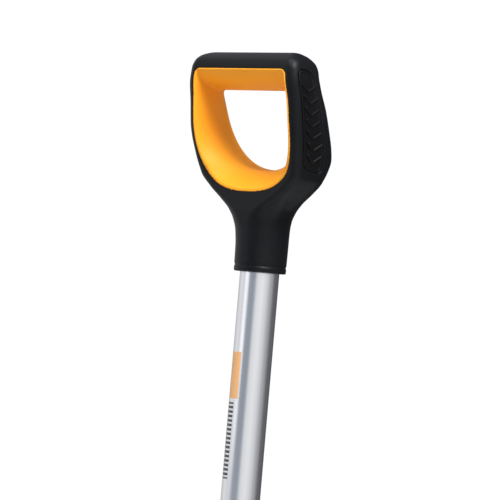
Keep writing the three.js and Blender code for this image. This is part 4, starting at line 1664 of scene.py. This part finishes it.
@dataclass
class Studio:
    """Pale floor, soft lights and the camera."""

    azimuth: float = 45.0
    elevation: float = -1.0
    roll: float = 4.9
    distance: float = 2.6
    metres_per_pixel: float = 0.000807
    aim: tuple[float, float, float] = (0.0, -12.0, 20.0)
    aim_place: tuple[float, float] = (251.4, 246.9)
    ambient: float = 0.52
    backdrop: float = 1.02
    panels: tuple[tuple[float, tuple[float, float, float]], ...] = (
        (-180.0, (0.30, 0.31, 0.33)),
        (-150.0, (0.62, 0.63, 0.65)),
        (-116.0, (0.90, 0.90, 0.92)),
        (-80.0, (0.72, 0.72, 0.75)),
        (-52.0, (0.34, 0.37, 0.42)),
        (-26.0, (0.32, 0.35, 0.40)),
        (-8.0, (0.86, 0.87, 0.88)),
        (24.0, (0.95, 0.95, 0.95)),
        (44.0, (0.80, 0.80, 0.81)),
        (80.0, (0.42, 0.42, 0.43)),
        (106.0, (0.14, 0.14, 0.15)),
        (180.0, (0.08, 0.08, 0.09)),
    )

    def build(self) -> None:
        """Makes the camera, the lights, the surroundings and the floor."""
        bpy.context.scene.view_settings.view_transform = "Standard"
        self._camera()
        self._lights()
        self._world()
        self._floor()

    def _axes(self) -> tuple[Vector, Vector, Vector]:
        """Camera's right, up and backward directions, with its roll."""
        turn, lift, roll = (math.radians(v) for v in (self.azimuth, self.elevation, self.roll))
        back = Vector((math.sin(turn) * math.cos(lift), -math.cos(turn) * math.cos(lift), math.sin(lift)))
        right = Vector((math.cos(turn), math.sin(turn), 0.0))
        up = back.cross(right)
        rolled_right = right * math.cos(roll) + up * math.sin(roll)
        rolled_up = up * math.cos(roll) - right * math.sin(roll)
        return rolled_right, rolled_up, back

    def _camera(self) -> None:
        """Long lens, turned so that the shaft leans as it does in the hand."""
        right, up, back = self._axes()
        aim = Vector(DATUM.place(np.array(self.aim)))
        half = IMAGE_SIDE / 2
        shift_x = (half - self.aim_place[0]) * self.metres_per_pixel
        shift_y = (self.aim_place[1] - half) * self.metres_per_pixel
        data = bpy.data.cameras.new("camera")
        data.sensor_width = 36.0
        data.lens = self.distance / self.metres_per_pixel * data.sensor_width / IMAGE_SIDE
        data.clip_end = 100.0
        camera = bpy.data.objects.new("camera", data)
        place = aim + back * self.distance + right * shift_x + up * shift_y
        turn = Matrix((right, up, back)).transposed().to_4x4()
        camera.matrix_world = Matrix.Translation(place) @ turn
        bpy.context.scene.collection.objects.link(camera)
        bpy.context.scene.camera = camera

    def _lights(self) -> None:
        """Large soft sources: a key on the left, a fill on the right and one overhead."""
        right, up, back = self._axes()
        aim = Vector(DATUM.place(np.array(self.aim)))
        sources = (
            ("key", right * 0.7 + back * 1.4 + up * 1.5, 0.6, 50.0),
            ("side", -right * 1.7 + back * 0.5 + up * 0.3, 0.8, 1.2),
            ("overhead", up * 1.7 + back * 0.6 - right * 0.3, 0.8, 15.0),
        )
        for name, offset, size, power in sources:
            data = bpy.data.lights.new(name, "AREA")
            data.shape = "SQUARE"
            data.size = size
            data.energy = power
            light = bpy.data.objects.new(name, data)
            light.location = aim + offset
            light.rotation_mode = "QUATERNION"
            light.rotation_quaternion = (-offset).to_track_quat("-Z", "Y")
            bpy.context.scene.collection.objects.link(light)

    def _world(self) -> None:
        """White surroundings with a few soft grey panels for the metal to mirror."""
        world = bpy.data.worlds.new("studio")
        world.use_nodes = True
        bpy.context.scene.world = world
        tree = world.node_tree
        tree.nodes.clear()
        output = tree.nodes.new("ShaderNodeOutputWorld")
        lit, seen, mirrored, ray = (
            tree.nodes.new(kind) for kind in
            ("ShaderNodeBackground", "ShaderNodeBackground", "ShaderNodeBackground", "ShaderNodeLightPath")
        )
        lit.inputs["Color"].default_value = (0.93, 0.96, 1.0, 1.0)
        lit.inputs["Strength"].default_value = self.ambient
        seen.inputs["Color"].default_value = (1.0, 1.0, 1.0, 1.0)
        seen.inputs["Strength"].default_value = self.backdrop
        tree.links.new(self._panels(tree), mirrored.inputs["Color"])
        glossy, camera = tree.nodes.new("ShaderNodeMixShader"), tree.nodes.new("ShaderNodeMixShader")
        tree.links.new(ray.outputs["Is Glossy Ray"], glossy.inputs[0])
        tree.links.new(lit.outputs[0], glossy.inputs[1])
        tree.links.new(mirrored.outputs[0], glossy.inputs[2])
        tree.links.new(ray.outputs["Is Camera Ray"], camera.inputs[0])
        tree.links.new(glossy.outputs[0], camera.inputs[1])
        tree.links.new(seen.outputs[0], camera.inputs[2])
        tree.links.new(camera.outputs[0], output.inputs["Surface"])

    def _panels(self, tree: bpy.types.NodeTree) -> bpy.types.NodeSocket:
        """Soft upright panels round the object, fixed in the studio, for the metal to mirror.

        Args:
            tree: The world's node tree.

        Returns:
            A colour that depends on the compass direction only.
        """
        place = tree.nodes.new("ShaderNodeTexCoord")
        turned = tree.nodes.new("ShaderNodeMapping")
        turned.inputs["Rotation"].default_value = (0.0, 0.0, -math.radians(self.azimuth))
        parts = tree.nodes.new("ShaderNodeSeparateXYZ")
        compass = tree.nodes.new("ShaderNodeMath")
        compass.operation = "ARCTAN2"
        share = tree.nodes.new("ShaderNodeMapRange")
        share.inputs["From Min"].default_value = -math.pi
        share.inputs["From Max"].default_value = math.pi
        ramp = tree.nodes.new("ShaderNodeValToRGB")
        tree.links.new(place.outputs["Generated"], turned.inputs["Vector"])
        tree.links.new(turned.outputs["Vector"], parts.inputs["Vector"])
        tree.links.new(parts.outputs["X"], compass.inputs[0])
        towards = tree.nodes.new("ShaderNodeMath")
        towards.operation = "MULTIPLY"
        towards.inputs[1].default_value = -1.0
        tree.links.new(parts.outputs["Y"], towards.inputs[0])
        tree.links.new(towards.outputs[0], compass.inputs[1])
        tree.links.new(compass.outputs[0], share.inputs["Value"])
        tree.links.new(share.outputs[0], ramp.inputs["Fac"])
        while len(ramp.color_ramp.elements) > 1:
            ramp.color_ramp.elements.remove(ramp.color_ramp.elements[-1])
        first = True
        for degrees, colour in self.panels:
            position = (degrees + 180.0) / 360.0
            element = ramp.color_ramp.elements[0] if first else ramp.color_ramp.elements.new(position)
            element.position = position
            element.color = (*colour, 1.0)
            first = False
        ramp.color_ramp.interpolation = "EASE"
        return ramp.outputs["Color"]

    def _floor(self) -> None:
        """Plain pale floor under the blade's tip."""
        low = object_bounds()[0].z - 0.004
        radius, sides = 0.9, 96
        ring = [(radius * math.cos(2 * math.pi * i / sides), radius * math.sin(2 * math.pi * i / sides), low)
                for i in range(sides)]
        mesh = bpy.data.meshes.new("floor")
        mesh.from_pydata(ring, [], [tuple(range(sides))])
        floor = bpy.data.objects.new("floor", mesh)
        bpy.context.scene.collection.objects.link(floor)
        bench = ShaderBench("pale_floor")
        bench.set(Roughness=0.7, Base_Color=(0.9, 0.9, 0.89, 1.0))
        dress(floor, bench.material)
        floor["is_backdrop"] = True


def main() -> None:
    """Builds the shovel and its studio."""
    logging.basicConfig(level=logging.INFO, format="%(name)s: %(message)s")
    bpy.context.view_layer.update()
    wardrobe = Wardrobe()
    Studio().build()
    for part in (Grip(wardrobe), UpperShaft(wardrobe), LowerShaft(wardrobe), Blade(wardrobe)):
        part.build()


if __name__ == "__main__":
    main()
